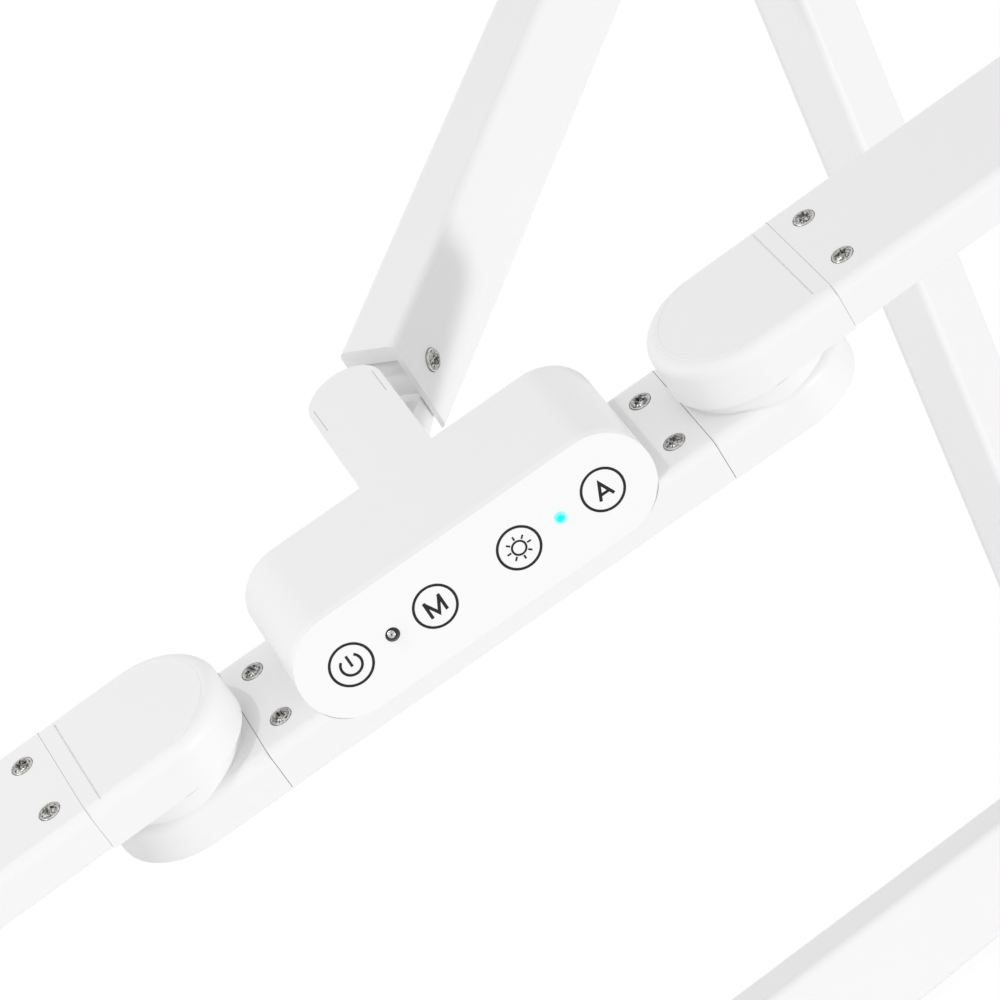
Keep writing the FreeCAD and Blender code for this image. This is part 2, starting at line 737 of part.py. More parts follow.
bracket.pocket("XY_Plane", [circle("0", "knuckle_reach", "swivel_pin_radius + run_clearance / 2")],
               "%s - cut_over" % KNUCKLE_FOOT, "%s + swivel_pin_grip" % KNUCKLE_FOOT)
bracket.pocket("XY_Plane", [circle(x, "bracket_leg_front - bracket_screw_inset",
                                   "screw_shank_radius + run_clearance")
                            for x in ("bracket_screw_spread", "-bracket_screw_spread")],
               "-cut_over", "bracket_foot_thick")
bracket.place()

bracket_seat = shift(y=S["bracket_leg_front"] - S["bracket_screw_inset"], z=S["bracket_foot_thick"])
bracket_places = [HEAD.multiply(bracket_seat).multiply(shift(x=side * S["bracket_screw_spread"]))
                  for side in (-1, 1)]
FLIP = turned(AXIS_X, 180)
housing_seats = [shift(side * S["housing_screw_reach"], S["housing_screw_back"], -S["bar_roof"])
                 for side in (-1, 1)]
housing_places = [HEAD.multiply(seat).multiply(FLIP) for seat in housing_seats]
group("housing_screws",
      copies(pan_screw("bracket_screw", "bracket_foot_thick + bar_roof"), bracket_places)
      + copies(pan_screw("housing_screw", "housing_screw_grip + bar_roof"), housing_places))


# Swing wings, drawn about their pin with the tip to the right
def wing(side, placement):
    """Make one wing: bar, lug, pin, washer, strip, diffuser, end cap and screws."""
    seam = "wing_seam_reach"
    tip = "wing_reach - wing_cap_thick"
    screws = "wing_seam_reach + lug_screw_inset"
    light_bar(side + "_wing_bar", placement, seam, tip, WING_TOP, (screws,)).place()

    lug = Piece(side + "_outer_lug", placement)
    flank = rect("-nose_overhang", seam, "-(%s)" % BAR_HALF, BAR_HALF)
    lug.pad("XY_Plane", [flank], "wing_underside", WING_TOP)
    lug.pad("XY_Plane", [circle("-nose_overhang", "0", BAR_HALF)], "wing_underside", WING_TOP)
    lug.fillet("lug_top_round", rim_edges(number(WING_TOP), -S["nose_overhang"], number(BAR_HALF), -1))
    groove = rect("%s - lug_groove_inset - lug_groove_width" % seam, "%s - lug_groove_inset" % seam,
                  "-bar_depth / 2 + lug_top_round", BAR_HALF)
    lug.pocket("XY_Plane", [groove], "(%s) - lug_groove_depth" % WING_TOP, WING_TOP)
    lug.pad("XY_Plane", [rect(seam, "%s + spigot_length" % seam, "-(%s)" % SPIGOT_HALF, SPIGOT_HALF)],
            "wing_underside", "(%s) - bar_roof" % WING_TOP)
    lug.pocket("XY_Plane", [circle("0", "0", "swing_pin_radius")],
               "wing_underside", "wing_underside + swing_pin_grip")
    holes = [circle(screws, y, "screw_shank_radius + run_clearance")
             for y in ("lug_screw_spread", "-lug_screw_spread")]
    lug.pocket("XY_Plane", holes, "(%s) - screw_shank_length - cut_over" % WING_TOP,
               "(%s) - bar_roof" % WING_TOP)
    lug.place()

    pin = Piece(side + "_swing_pin", placement)
    head_top = "-bar_height + swing_head_recess - swing_head_play"
    head_low = "%s - swing_head_thick" % head_top
    pin.turn([("swing_pin_bore", head_low), ("swing_head_radius", head_low),
              ("swing_head_radius", head_top), ("swing_pin_radius", head_top),
              ("swing_pin_radius", "wing_underside + swing_pin_grip"),
              ("swing_pin_bore", "wing_underside + swing_pin_grip")])
    pin.place()

    washer = Piece(side + "_swing_washer", placement)
    low = "wing_underside - lug_gap / 2 - swing_washer_thick / 2"
    washer.turn([("swing_pin_radius + run_clearance", low), ("swing_washer_radius", low),
                 ("swing_washer_radius", "%s + swing_washer_thick" % low),
                 ("swing_pin_radius + run_clearance", "%s + swing_washer_thick" % low)])
    washer.place()

    lit_low = "%s + spigot_length + fit_slip" % seam
    lit_high = "wing_reach - wing_cap_thick - wing_cap_plug - fit_slip"
    led_strip(side + "_led_strip", placement, lit_low, lit_high, WING_TOP)
    diffuser(side + "_diffuser", placement, lit_low, lit_high, WING_TOP)

    cap = Piece(side + "_end_cap", placement)
    cap.pad("XY_Plane", [rect(tip, "wing_reach", "-(%s)" % BAR_HALF, BAR_HALF)], "wing_underside", WING_TOP)

    def outline(middle, along, edge):
        at_end = abs(abs(middle.y) - number(BAR_HALF)) < EPS
        return at_end and abs(abs(along.x) - 1) < EPS and middle.z > number(WING_TOP) - EPS

    def corner(middle, along, edge):
        return middle.x > S["wing_reach"] - EPS and abs(abs(along.z) - 1) < EPS

    cap.fillet("bar_top_round", outline)
    cap.fillet("wing_cap_thick / 2", corner)
    cap.pad("XY_Plane", [rect("%s - wing_cap_plug" % tip, tip, "-(%s)" % SPIGOT_HALF, SPIGOT_HALF)],
            "wing_underside", "(%s) - bar_roof" % WING_TOP)
    cap.place()

    seats = [shift(S["wing_seam_reach"] + S["lug_screw_inset"], y * S["lug_screw_spread"],
                   number(WING_TOP) - S["screw_seat_depth"]) for y in (-1, 1)]
    group(side + "_wing_screws", copies(pan_screw(side + "_wing_screw"),
                                        [placement.multiply(seat) for seat in seats]))


wing("right", RIGHT_WING)
wing("left", LEFT_WING)

# Swivel block, drawn about the swivel pin with the tilt axis behind it
POST_TOP = "%s - swivel_washer_gap" % KNUCKLE_FOOT
block = Piece("swivel_block", NECK)
block.pad("XY_Plane", [circle("0", "0", "post_radius")], "-post_foot", POST_TOP)
TONGUE_LOW = "-tilt_eye_width / 2"
TONGUE_HIGH = "tilt_eye_width / 2"
neck = [("0", "-post_foot"), ("post_radius", "-post_foot"),
        ("tilt_offset", "tilt_rise - tilt_eye_radius"), ("tilt_offset", "tilt_rise"),
        ("tilt_offset - tilt_eye_radius", "neck_top"), ("0", "neck_top")]
block.pad("YZ_Plane", [neck], TONGUE_LOW, TONGUE_HIGH)
block.pad("YZ_Plane", [circle("tilt_offset", "tilt_rise", "tilt_eye_radius")], TONGUE_LOW, TONGUE_HIGH)
block.pocket("XY_Plane", [circle("0", "0", "swivel_pin_radius + run_clearance")], "-post_foot", POST_TOP)
block.pocket("XY_Plane", [circle("0", "0", "swivel_head_radius + fit_slip")],
             "-post_foot", "-post_foot + swivel_head_recess")
block.pocket("YZ_Plane", [circle("tilt_offset", "tilt_rise", "tilt_bolt_radius + run_clearance")],
             TONGUE_LOW, TONGUE_HIGH)
block.place()

swivel_pin = Piece("swivel_pin", NECK)
PIN_HEAD_TOP = "-post_foot + swivel_head_recess - fit_slip"
swivel_pin.turn([("0", "%s - swivel_head_thick" % PIN_HEAD_TOP),
                 ("swivel_head_radius", "%s - swivel_head_thick" % PIN_HEAD_TOP),
                 ("swivel_head_radius", PIN_HEAD_TOP), ("swivel_pin_radius", PIN_HEAD_TOP),
                 ("swivel_pin_radius", "%s + swivel_pin_grip" % KNUCKLE_FOOT),
                 ("0", "%s + swivel_pin_grip" % KNUCKLE_FOOT)])
swivel_pin.place()

swivel_washer = Piece("swivel_washer", NECK)
WASHER_LOW = "%s - swivel_washer_gap / 2 - swivel_washer_thick / 2" % KNUCKLE_FOOT
WASHER_HIGH = "%s - swivel_washer_gap / 2 + swivel_washer_thick / 2" % KNUCKLE_FOOT
swivel_washer.turn([("swivel_pin_radius + run_clearance", WASHER_LOW), ("post_radius", WASHER_LOW),
                    ("post_radius", WASHER_HIGH), ("swivel_pin_radius + run_clearance", WASHER_HIGH)])
swivel_washer.place()


def washer_pair(label, placement, radius, thick, half_gap, half_eye, kind=""):
    """Make the two friction washers beside an eye, between it and the ears, about the X axis."""
    ring = Piece(label + "_one")
    bore = kind + "bolt_radius + run_clearance"
    ring.turn([(bore, "-(%s) / 2" % thick), (radius, "-(%s) / 2" % thick),
               (radius, "(%s) / 2" % thick), (bore, "(%s) / 2" % thick)])
    middle = (number(half_gap) + number(half_eye)) / 2
    on_axis = turned(AXIS_Y, 90)
    places = [placement.multiply(shift(x=side * middle)).multiply(on_axis) for side in (-1, 1)]
    return group(label, copies(ring, places))


def pivot_bolt(label, placement, half_width, kind=""):
    """Make a pan-head pivot bolt along X, its head on the right; kind picks the set of sizes."""
    bolt = Piece(label, placement)
    shank = kind + "bolt_radius"
    head = kind + "bolt_head_radius"
    end = "-(%s) - %snut_height" % (half_width, kind)
    edge = "(%s) + %sbolt_head_edge" % (half_width, kind)
    crown = "(%s) + %sbolt_head_height" % (half_width, kind)
    bolt.turn([("0", end), (shank, end), (shank, half_width), (head, half_width), (head, edge),
               (kind + "bolt_crown_radius", crown), ("0", crown)])
    return bolt.place(turned(AXIS_Y, 90))


def pivot_nut(label, placement, half_width, kind=""):
    """Make the round nut on a pivot bolt's far end."""
    nut = Piece(label, placement)
    bore = kind + "bolt_radius + run_clearance"
    rim = kind + "nut_radius"
    edge = kind + "bolt_head_edge"
    low = "-(%s) - %snut_height" % (half_width, kind)
    high = "-(%s)" % half_width
    nut.turn([(bore, low), ("%s - %s" % (rim, edge), low), (rim, "%s + %s" % (low, edge)),
              (rim, high), (bore, high)])
    return nut.place(turned(AXIS_Y, 90))


def tube(label, placement, plane, width, height, wall, low, high):
    """Make a rectangular tube with rounded long edges; width runs along X or the first axis."""
    piece = Piece(label, placement)
    outer = rect("-%s / 2" % width, "%s / 2" % width, "-%s / 2" % height, "%s / 2" % height)
    inner = rect("-%s / 2 + %s" % (width, wall), "%s / 2 - %s" % (width, wall),
                 "-%s / 2 + %s" % (height, wall), "%s / 2 - %s" % (height, wall))
    piece.pad(plane, [outer], low, high)
    axis = Piece.AXIS[plane]
    piece.fillet("tube_round" if width == "tube_width" else "rail_round", runs_along(axis))
    piece.pocket(plane, [inner], low, high)
    return piece


# Upper arm, drawn from the tilt axis towards the elbow
HALF_W = "tube_width / 2"
HALF_H = "tube_height / 2"
PLUG_W = "tube_width / 2 - tube_wall - fit_slip"
PLUG_H = "tube_height / 2 - tube_wall - fit_slip"
UPPER_BACK = "upper_reach - tongue_setback"
upper_tube = tube("upper_arm_tube", UPPER, "XZ_Plane", "tube_width", "tube_height", "tube_wall",
                  "-upper_front", UPPER_BACK)
upper_tube.pocket("XY_Plane", [rect("-tube_width / 2 + tube_wall", "tube_width / 2 - tube_wall",
                                    "-upper_front", "relief_reach")],
                  "-tube_height / 2", "-tube_height / 2 + tube_wall")
upper_tube.pocket("YZ_Plane", [circle("0", "0", "tilt_bolt_radius + run_clearance / 2")],
                  "-(%s)" % HALF_W, HALF_W)
upper_tube.place()

collar = Piece("upper_arm_collar", UPPER)
collar.pad("XZ_Plane", [rect("-(%s)" % HALF_W, HALF_W, "-(%s)" % HALF_H, HALF_H)],
           "-upper_front - collar_rim", "-upper_front")
collar.fillet("tube_round", runs_along(Vector(0, 1, 0)))
collar.pocket("XZ_Plane", [rect("-tube_width / 2 + tube_wall", "tube_width / 2 - tube_wall",
                                "-tube_height", "tube_height / 2 - collar_band")],
              "-upper_front - collar_rim", "-upper_front")
collar.pad("XZ_Plane", [rect("-(%s)" % PLUG_W, PLUG_W, "tube_height / 2 - collar_band", PLUG_H)],
           "-upper_front", "-upper_front + collar_tab")
collar.place()

pivot_bolt("tilt_bolt", UPPER, HALF_W, "tilt_")
pivot_nut("tilt_nut", UPPER, HALF_W, "tilt_")
washer_pair("tilt_washers", UPPER, "tilt_washer_radius", "tilt_washer_thick",
            "tube_width / 2 - tube_wall", "tilt_eye_width / 2", "tilt_")


def tongue(label, placement, setback):
    """Make an end fitting: a plug in the tube, a flange and a tapered neck with an eye.

    It is drawn with the eye's axis at the origin and the tube in front of it, along -Y.
    """
    piece = Piece(label, placement)
    end = "-(%s)" % setback
    flange = "-(%s) + tongue_flange" % setback
    piece.pad("XZ_Plane", [rect("-(%s)" % HALF_W, HALF_W, "-(%s)" % HALF_H, HALF_H)], end, flange)
    piece.fillet("tube_round", runs_along(Vector(0, 1, 0)))
    piece.pad("XZ_Plane", [rect("-(%s)" % PLUG_W, PLUG_W, "-(%s)" % PLUG_H, PLUG_H)],
              "%s - plug_length" % end, end)
    waist = "%s + neck_taper_reach" % flange if number(setback) > 2 * S["neck_taper_reach"] else "-cut_over"
    outline = [(flange, "-neck_root_half"), (waist, "-neck_half_height"), ("0", "-neck_half_height"),
               ("0", "neck_half_height"), (waist, "neck_half_height"), (flange, "neck_root_half")]
    piece.pad("YZ_Plane", [outline], "-tongue_width / 2", "tongue_width / 2")
    piece.pad("YZ_Plane", [circle("0", "0", "tongue_eye_radius")], "-tongue_width / 2", "tongue_width / 2")
    piece.pocket("YZ_Plane", [circle("0", "0", "bolt_radius + run_clearance")],
                 "-tongue_width / 2", "tongue_width / 2")
    return piece.place()


ELBOW_FRAME = UPPER.multiply(shift(y=S["upper_reach"]))
tongue("elbow_tongue", ELBOW_FRAME, "tongue_setback")

# Lower arm, drawn upwards from the foot pivot
LOWER_TOP = "lower_reach - fork_setback"
lower_tube = tube("lower_arm_tube", LOWER, "XY_Plane", "tube_width", "tube_height", "tube_wall",
                  "foot_setback", LOWER_TOP)
lower_tube.place()

fork = Piece("elbow_fork", LOWER)
fork.pad("YZ_Plane", [rect("-(%s)" % HALF_H, HALF_H, LOWER_TOP, "lower_reach")], "-(%s)" % HALF_W, HALF_W)
fork.pad("YZ_Plane", [circle("0", "lower_reach", HALF_H)], "-(%s)" % HALF_W, HALF_W)
throat = [("tube_height", "lower_reach"), ("tube_height", "lower_reach + tube_height"),
          ("-tube_height", "lower_reach + tube_height"),
          ("-tube_height", "lower_reach - 2 * fork_throat_front + fork_throat_radius"),
          ("0", "lower_reach - fork_throat_radius"), ("fork_throat_radius", "lower_reach")]
fork.pocket("YZ_Plane", [throat], "-fork_gap / 2", "fork_gap / 2")
fork.pocket("YZ_Plane", [circle("0", "lower_reach", "fork_throat_radius")], "-fork_gap / 2", "fork_gap / 2")
fork.pocket("YZ_Plane", [circle("0", "lower_reach", "bolt_radius + run_clearance / 2")],
            "-(%s)" % HALF_W, HALF_W)
fork.pad("XY_Plane", [rect("-(%s)" % PLUG_W, PLUG_W, "-(%s)" % PLUG_H, PLUG_H)],
         "%s - plug_length" % LOWER_TOP, LOWER_TOP)
fork.place()

LOWER_END = LOWER.multiply(shift(z=S["lower_reach"]))
pivot_bolt("elbow_bolt", LOWER_END, HALF_W)
pivot_nut("elbow_nut", LOWER_END, HALF_W)
washer_pair("elbow_washers", LOWER_END, "eye_washer_radius", "eye_washer_thick",
            "fork_gap / 2", "tongue_width / 2")
tongue("foot_tongue", LOWER.multiply(turned(AXIS_X, -90)), "foot_setback")

# Table base
FOOT = shift(y=S["foot_back"], z=S["foot_rise"])
RAIL_MIDDLE = S["pad_thick"] + S["rail_height"] / 2
RAIL = shift(z=RAIL_MIDDLE)
SPINE_FRONT = "rail_width / 2"
spine = tube("base_spine", RAIL, "XZ_Plane", "rail_width", "rail_height", "rail_wall",
             SPINE_FRONT, "spine_back")
spine_holes = [circle("0", "foot_back + (%s)" % y, "screw_shank_radius + fit_slip")
               for y in ("saddle_screw_spread", "-saddle_screw_spread")]
spine.pocket("XY_Plane", spine_holes, "rail_height / 2 - rail_wall", "rail_height / 2")
spine.place()

crossbar = tube("base_crossbar", RAIL.multiply(turned(AXIS_Z, 90)), "XZ_Plane", "rail_width",
                "rail_height", "rail_wall", "-crossbar_half_length", "crossbar_half_length")
tee_holes = [circle("0", z, "screw_shank_radius + fit_slip")
             for z in ("tee_screw_spread", "-tee_screw_spread")]
crossbar.pocket("YZ_Plane", tee_holes, "-rail_width / 2", "rail_width / 2")
crossbar.place()

INNER_H = "rail_height / 2 - rail_wall"
tee_block = Piece("tee_block", RAIL)
SNUG_W = "rail_width / 2 - rail_wall - fit_slip"
SNUG_H = "rail_height / 2 - rail_wall - fit_slip"
tee_block.pad("XZ_Plane", [rect("-(%s)" % SNUG_W, SNUG_W, "-(%s)" % INNER_H, INNER_H)],
              SPINE_FRONT, "%s + tee_block_length" % SPINE_FRONT)
tee_block.pocket("XZ_Plane", [circle("0", z, "screw_shank_radius + run_clearance")
                              for z in ("tee_screw_spread", "-tee_screw_spread")],
                 SPINE_FRONT, "%s + tee_screw_length - rail_width + cut_over" % SPINE_FRONT)
tee_block.place()

FRONTWARD = turned(AXIS_X, 90)
tee_places = [RAIL.multiply(shift(y=-S["rail_width"] / 2, z=side * S["tee_screw_spread"])).multiply(FRONTWARD)
              for side in (-1, 1)]
tee_screws = copies(pan_screw("tee_screw", "tee_screw_length"), tee_places)

spine_weight = Piece("spine_weight", RAIL)
WEIGHT = rect("-(%s)" % SNUG_W, SNUG_W, "-(%s)" % INNER_H, "%s - weight_slack" % INNER_H)
spine_weight.pad("XZ_Plane", [WEIGHT],
                 "%s + tee_block_length + spine_weight_gap" % SPINE_FRONT,
                 "foot_back - saddle_half_length - spine_weight_gap")
spine_weight.place()
half_weight = Piece("crossbar_weight", RAIL)
half_weight.pad("YZ_Plane", [WEIGHT], "weight_gap",
                "crossbar_half_length - end_cap_plug - weight_end_gap")
group("crossbar_weights", copies(half_weight, [RAIL, RAIL.multiply(turned(AXIS_Z, 180))]))


def rail_cap(label, placement):
    """Make a moulded plug for a rail's open end, drawn with the outside at +Y."""
    cap = Piece(label, placement)
    cap.pad("XZ_Plane", [rect("-rail_width / 2", "rail_width / 2", "-rail_height / 2", "rail_height / 2")],
            "0", "end_cap_thick")
    cap.fillet("rail_round", runs_along(Vector(0, 1, 0)))
    cap.pad("XZ_Plane", [rect("-(%s)" % SNUG_W, SNUG_W, "-(%s)" % SNUG_H, SNUG_H)],
            "-end_cap_plug", "0")
    return cap


rear_cap = rail_cap("rear_cap", RAIL.multiply(shift(y=S["spine_back"])))
INLET_LEVEL = "inlet_rise - pad_thick - rail_height / 2"
rear_cap.pocket("XZ_Plane", [circle("0", INLET_LEVEL, "inlet_shell_radius + run_clearance")],
                "-end_cap_plug", "end_cap_thick")
rear_cap.place()
foot_ends = [RAIL.multiply(turned(AXIS_Z, side * 90)).multiply(shift(y=S["crossbar_half_length"]))
             for side in (-1, 1)]
group("foot_caps", copies(rail_cap("foot_cap", Placement()), foot_ends))

inlet = Piece("power_inlet", shift(y=S["spine_back"] + S["end_cap_thick"], z=S["inlet_rise"]))
inlet.turn([("0", "-inlet_length"), ("inlet_shell_radius", "-inlet_length"),
            ("inlet_shell_radius", "inlet_rim"), ("inlet_bore_radius", "inlet_rim"),
            ("inlet_bore_radius", "inlet_rim - inlet_depth"), ("inlet_pin_radius", "inlet_rim - inlet_depth"),
            ("inlet_pin_radius", "-inlet_rim"), ("0", "-inlet_rim")])
inlet.place(turned(AXIS_X, -90))


def rubber_pad(label, low_x, high_x, low_y, high_y):
    """Make a flat rubber pad between the table and a rail."""
    pad = Piece(label)
    pad.pad("XY_Plane", [rect(low_x, high_x, low_y, high_y)], "0", "pad_thick")
    return pad.place()


PAD_HALF = "crossbar_half_length - crossbar_pad_inset"
rubber_pad("crossbar_pad", "-(%s)" % PAD_HALF, PAD_HALF, "-pad_width / 2", "pad_width / 2")
rubber_pad("rear_pad", "-pad_width / 2", "pad_width / 2",
           "spine_back - rear_pad_inset - rear_pad_length", "spine_back - rear_pad_inset")

# Foot bracket that straddles the spine and carries the lower arm
SPINE_TOP = "pad_thick + rail_height - foot_rise"
SADDLE_HALF = "rail_width / 2 + saddle_slip + saddle_cheek"
EAR_OUT = "fork_gap / 2 + ear_thick"
saddle = Piece("foot_bracket", FOOT)
saddle.pad("XY_Plane", [rect("-(%s)" % SADDLE_HALF, SADDLE_HALF,
                             "-saddle_half_length", "saddle_half_length")],
           "%s - saddle_drop" % SPINE_TOP, "%s + saddle_thick" % SPINE_TOP)


def upright(middle, along, edge):
    """Tell the saddle's four standing corners."""
    return abs(abs(along.z) - 1) < EPS


saddle.fillet("rail_round", upright)
saddle.pocket("XY_Plane", [rect("-rail_width / 2 - saddle_slip", "rail_width / 2 + saddle_slip",
                                "-saddle_half_length", "saddle_half_length")],
              "%s - saddle_drop" % SPINE_TOP, SPINE_TOP)
EAR_FOOT = "%s + saddle_thick" % SPINE_TOP
ears = [("-ear_root_half", EAR_FOOT), ("ear_root_half", EAR_FOOT), ("ear_radius", "0"), ("-ear_radius", "0")]
saddle.pad("YZ_Plane", [ears], "-(%s)" % EAR_OUT, EAR_OUT)
saddle.pad("YZ_Plane", [circle("0", "0", "ear_radius")], "-(%s)" % EAR_OUT, EAR_OUT)
saddle.pocket("XY_Plane", [rect("-fork_gap / 2", "fork_gap / 2",
                                "-saddle_half_length", "saddle_half_length")],
              EAR_FOOT, "2 * ear_radius")
saddle.pocket("YZ_Plane", [circle("0", "0", "bolt_radius + run_clearance / 2")], "-(%s)" % EAR_OUT, EAR_OUT)
saddle.pocket("XY_Plane", [circle("0", y, "screw_shank_radius + run_clearance")
                           for y in ("saddle_screw_spread", "-saddle_screw_spread")],
              SPINE_TOP, EAR_FOOT)
saddle.place()
saddle_places = [FOOT.multiply(shift(y=side * S["saddle_screw_spread"], z=number(EAR_FOOT)))
                 for side in (-1, 1)]
group("base_screws", tee_screws + copies(pan_screw("saddle_screw"), saddle_places))
pivot_bolt("foot_bolt", FOOT, EAR_OUT)
pivot_nut("foot_nut", FOOT, EAR_OUT)
washer_pair("foot_washers", FOOT, "eye_washer_radius", "eye_washer_thick", "fork_gap / 2", "tongue_width / 2")

doc.recompute()
failed = [o.Name for o in doc.Objects if "Invalid" in o.State or "Error" in o.State]
for node in nodes:
    shape = node.Shape
    if shape.isNull() or not shape.isValid() or not shape.Solids:
        failed.append(node.Label)
if failed:
    raise ValueError("failed: %s" % ", ".join(failed))
for node in nodes:
    node.Shape.exportStep("parts/%s.step" % node.Label)
    print("%-22s %9.0f mm3  %d solid(s)" % (node.Label, node.Shape.Volume, len(node.Shape.Solids)))
print("nodes", len(nodes))
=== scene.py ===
"""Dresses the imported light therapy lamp: finishes, printed keys, screws, seams and studio."""

from __future__ import annotations

import json
import logging
import math
from dataclasses import dataclass
from enum import Enum

import bmesh
import bpy
from mathutils import Matrix, Vector


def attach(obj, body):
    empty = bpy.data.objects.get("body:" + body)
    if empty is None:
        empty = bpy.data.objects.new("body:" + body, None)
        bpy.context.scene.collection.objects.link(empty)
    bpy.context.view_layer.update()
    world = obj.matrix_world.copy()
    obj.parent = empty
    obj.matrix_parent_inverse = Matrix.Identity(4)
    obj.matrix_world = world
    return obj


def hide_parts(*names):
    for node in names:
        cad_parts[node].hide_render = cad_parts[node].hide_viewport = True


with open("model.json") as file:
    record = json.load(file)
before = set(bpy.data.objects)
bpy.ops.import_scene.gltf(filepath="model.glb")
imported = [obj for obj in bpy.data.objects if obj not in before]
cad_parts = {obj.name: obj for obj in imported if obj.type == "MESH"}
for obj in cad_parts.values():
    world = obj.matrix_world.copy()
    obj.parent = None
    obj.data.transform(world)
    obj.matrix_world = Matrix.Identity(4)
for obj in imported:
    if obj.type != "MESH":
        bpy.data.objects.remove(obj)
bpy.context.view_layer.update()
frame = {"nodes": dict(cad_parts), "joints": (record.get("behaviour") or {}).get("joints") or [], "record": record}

LOG = logging.getLogger("lamp")
MM = 0.001
WELD = 1e-6
NOISE_MIDDLE = 0.5
MITRE_LIMIT = 0.35
Point = tuple[float, float]
Point3 = tuple[float, float, float]
Colour = tuple[float, float, float]


@dataclass(frozen=True)
class Axes:
    """A place in the row frame with its own axes, for sizes in millimetres."""

    origin: Vector
    x: Vector
    y: Vector
    z: Vector

    def at(self, x: float, y: float, z: float) -> Vector:
        """Return a local place, in millimetres, as a point of the row frame."""
        return self.origin + (self.x * x + self.y * y + self.z * z) * MM

    def local(self, point: Vector) -> Vector:
        """Return a point of the row frame as a local place in millimetres."""
        step = (point - self.origin) / MM
        return Vector((step.dot(self.x), step.dot(self.y), step.dot(self.z)))

    def shifted(self, x: float, y: float, z: float) -> Axes:
        """Return the same axes about another local place."""
        return Axes(self.at(x, y, z), self.x, self.y, self.z)


# The row frame's own axes
ROW = Axes(Vector(), *(Vector(row) for row in Matrix.Identity(3)))


def joint(name: str) -> tuple[Vector, Vector]:
    """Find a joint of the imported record.

    Args:
        name: The joint's name.

    Returns:
        Its place and the direction of its axis.
    """
    found = next(entry for entry in frame["joints"] if entry["name"] == name)
    return Vector(found["pos_m"]), Vector(found["axis"]).normalized()


def head_axes() -> Axes:
    """Find the head's own axes from its two swing pins.

    Returns:
        Axes midway between the pins, with X along the bar, Y to the back and Z up.
    """
    right, normal = joint("right_wing_swing")
    left, _ = joint("left_wing_swing")
    along = (right - left).normalized()
    return Axes((right + left) / 2, along, normal.cross(along), normal)


HEAD = head_axes()

# Where the touch panel stands in the head's axes, and how far its two lenses are from its middle
PANEL_STAND = 16.2
PANEL_MIDDLE = 5.7
PANEL_SLOPE = 0.1926
LENS_STAND = 22.0


def panel_axes() -> Axes:
    """Return axes on the touch panel's face: along it, up it and out of it."""
    up = (HEAD.y * PANEL_SLOPE + HEAD.z).normalized()
    return Axes(HEAD.at(0.0, -PANEL_STAND, PANEL_MIDDLE), HEAD.x, up, HEAD.x.cross(up))


PANEL = panel_axes()


def loose_parts(node: str) -> list[list[Vector]]:
    """Split a CAD node into its loose solids.

    Args:
        node: The node's name.

    Returns:
        The vertices of each loose solid, in the row frame.
    """
    work = bmesh.new()
    work.from_mesh(frame["nodes"][node].data)
    bmesh.ops.remove_doubles(work, verts=work.verts, dist=WELD)
    unseen = set(work.verts)
    parts = []
    for start in list(work.verts):
        if start not in unseen:
            continue
        unseen.discard(start)
        queue = [start]
        part = []
        while queue:
            vertex = queue.pop()
            part.append(vertex.co.copy())
            for edge in vertex.link_edges:
                other = edge.other_vert(vertex)
                if other in unseen:
                    unseen.discard(other)
                    queue.append(other)
        parts.append(part)
    work.free()
    return parts


def show_mesh(name: str, mesh: bpy.types.Mesh) -> bpy.types.Object:
    """Make an object of a mesh and put it in the scene.

    Args:
        name: The object's name.
        mesh: Its mesh.

    Returns:
        The new object.
    """
    shown = bpy.data.objects.new(name, mesh)
    bpy.context.scene.collection.objects.link(shown)
    return shown


def show_work(name: str, work: bmesh.types.BMesh) -> bpy.types.Object:
    """Make an object of an edited mesh and put it in the scene.

    Args:
        name: The name of the object and of its mesh.
        work: The edited mesh, which is freed here.

    Returns:
        The new object.
    """
    mesh = bpy.data.meshes.new(name)
    work.to_mesh(mesh)
    work.free()
    return show_mesh(name, mesh)


def spin_outline(work: bmesh.types.BMesh, axes: Axes, outline: list[Point], segments: int) -> None:
    """Add a closed turned solid.

    Args:
        work: The mesh that takes the solid.
        axes: Its place, with its own middle line along Z.
        outline: Radius and height in millimetres, from its lowest point on the axis to its highest.
        segments: How many sides a ring has.
    """
    angles = [2.0 * math.pi * i / segments for i in range(segments)]
    rings = []
    for radius, height in outline:
        ways = [(math.cos(angle), math.sin(angle)) for angle in (angles if radius else [0.0])]
        rings.append([work.verts.new(axes.at(radius * x, radius * y, height)) for x, y in ways])
    for lower, upper in zip(rings, rings[1:]):
        for i in range(segments):
            after = (i + 1) % segments
            corners = [lower[i % len(lower)], lower[after % len(lower)]]
            corners += [upper[after % len(upper)], upper[i % len(upper)]]
            work.faces.new(list(dict.fromkeys(corners)))
    bmesh.ops.recalc_face_normals(work, faces=work.faces)


def new_piece(name: str, work: bmesh.types.BMesh, body: str,
              surface: Surface) -> bpy.types.Object:
    """Make a piece of a closed mesh and let it ride on a body.

    Args:
        name: The piece's name.
        work: The mesh, in the row frame and in metres. It is freed here.
        body: The CAD body that the piece moves with.
        surface: The finish that it is shown with.

    Returns:
        The new object.
    """
    bmesh.ops.recalc_face_normals(work, faces=work.faces)
    piece = show_work(name, work)
    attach(piece, body)
    set_surface(piece, surface)
    LOG.info("made %s", name)
    return piece


# Finishes


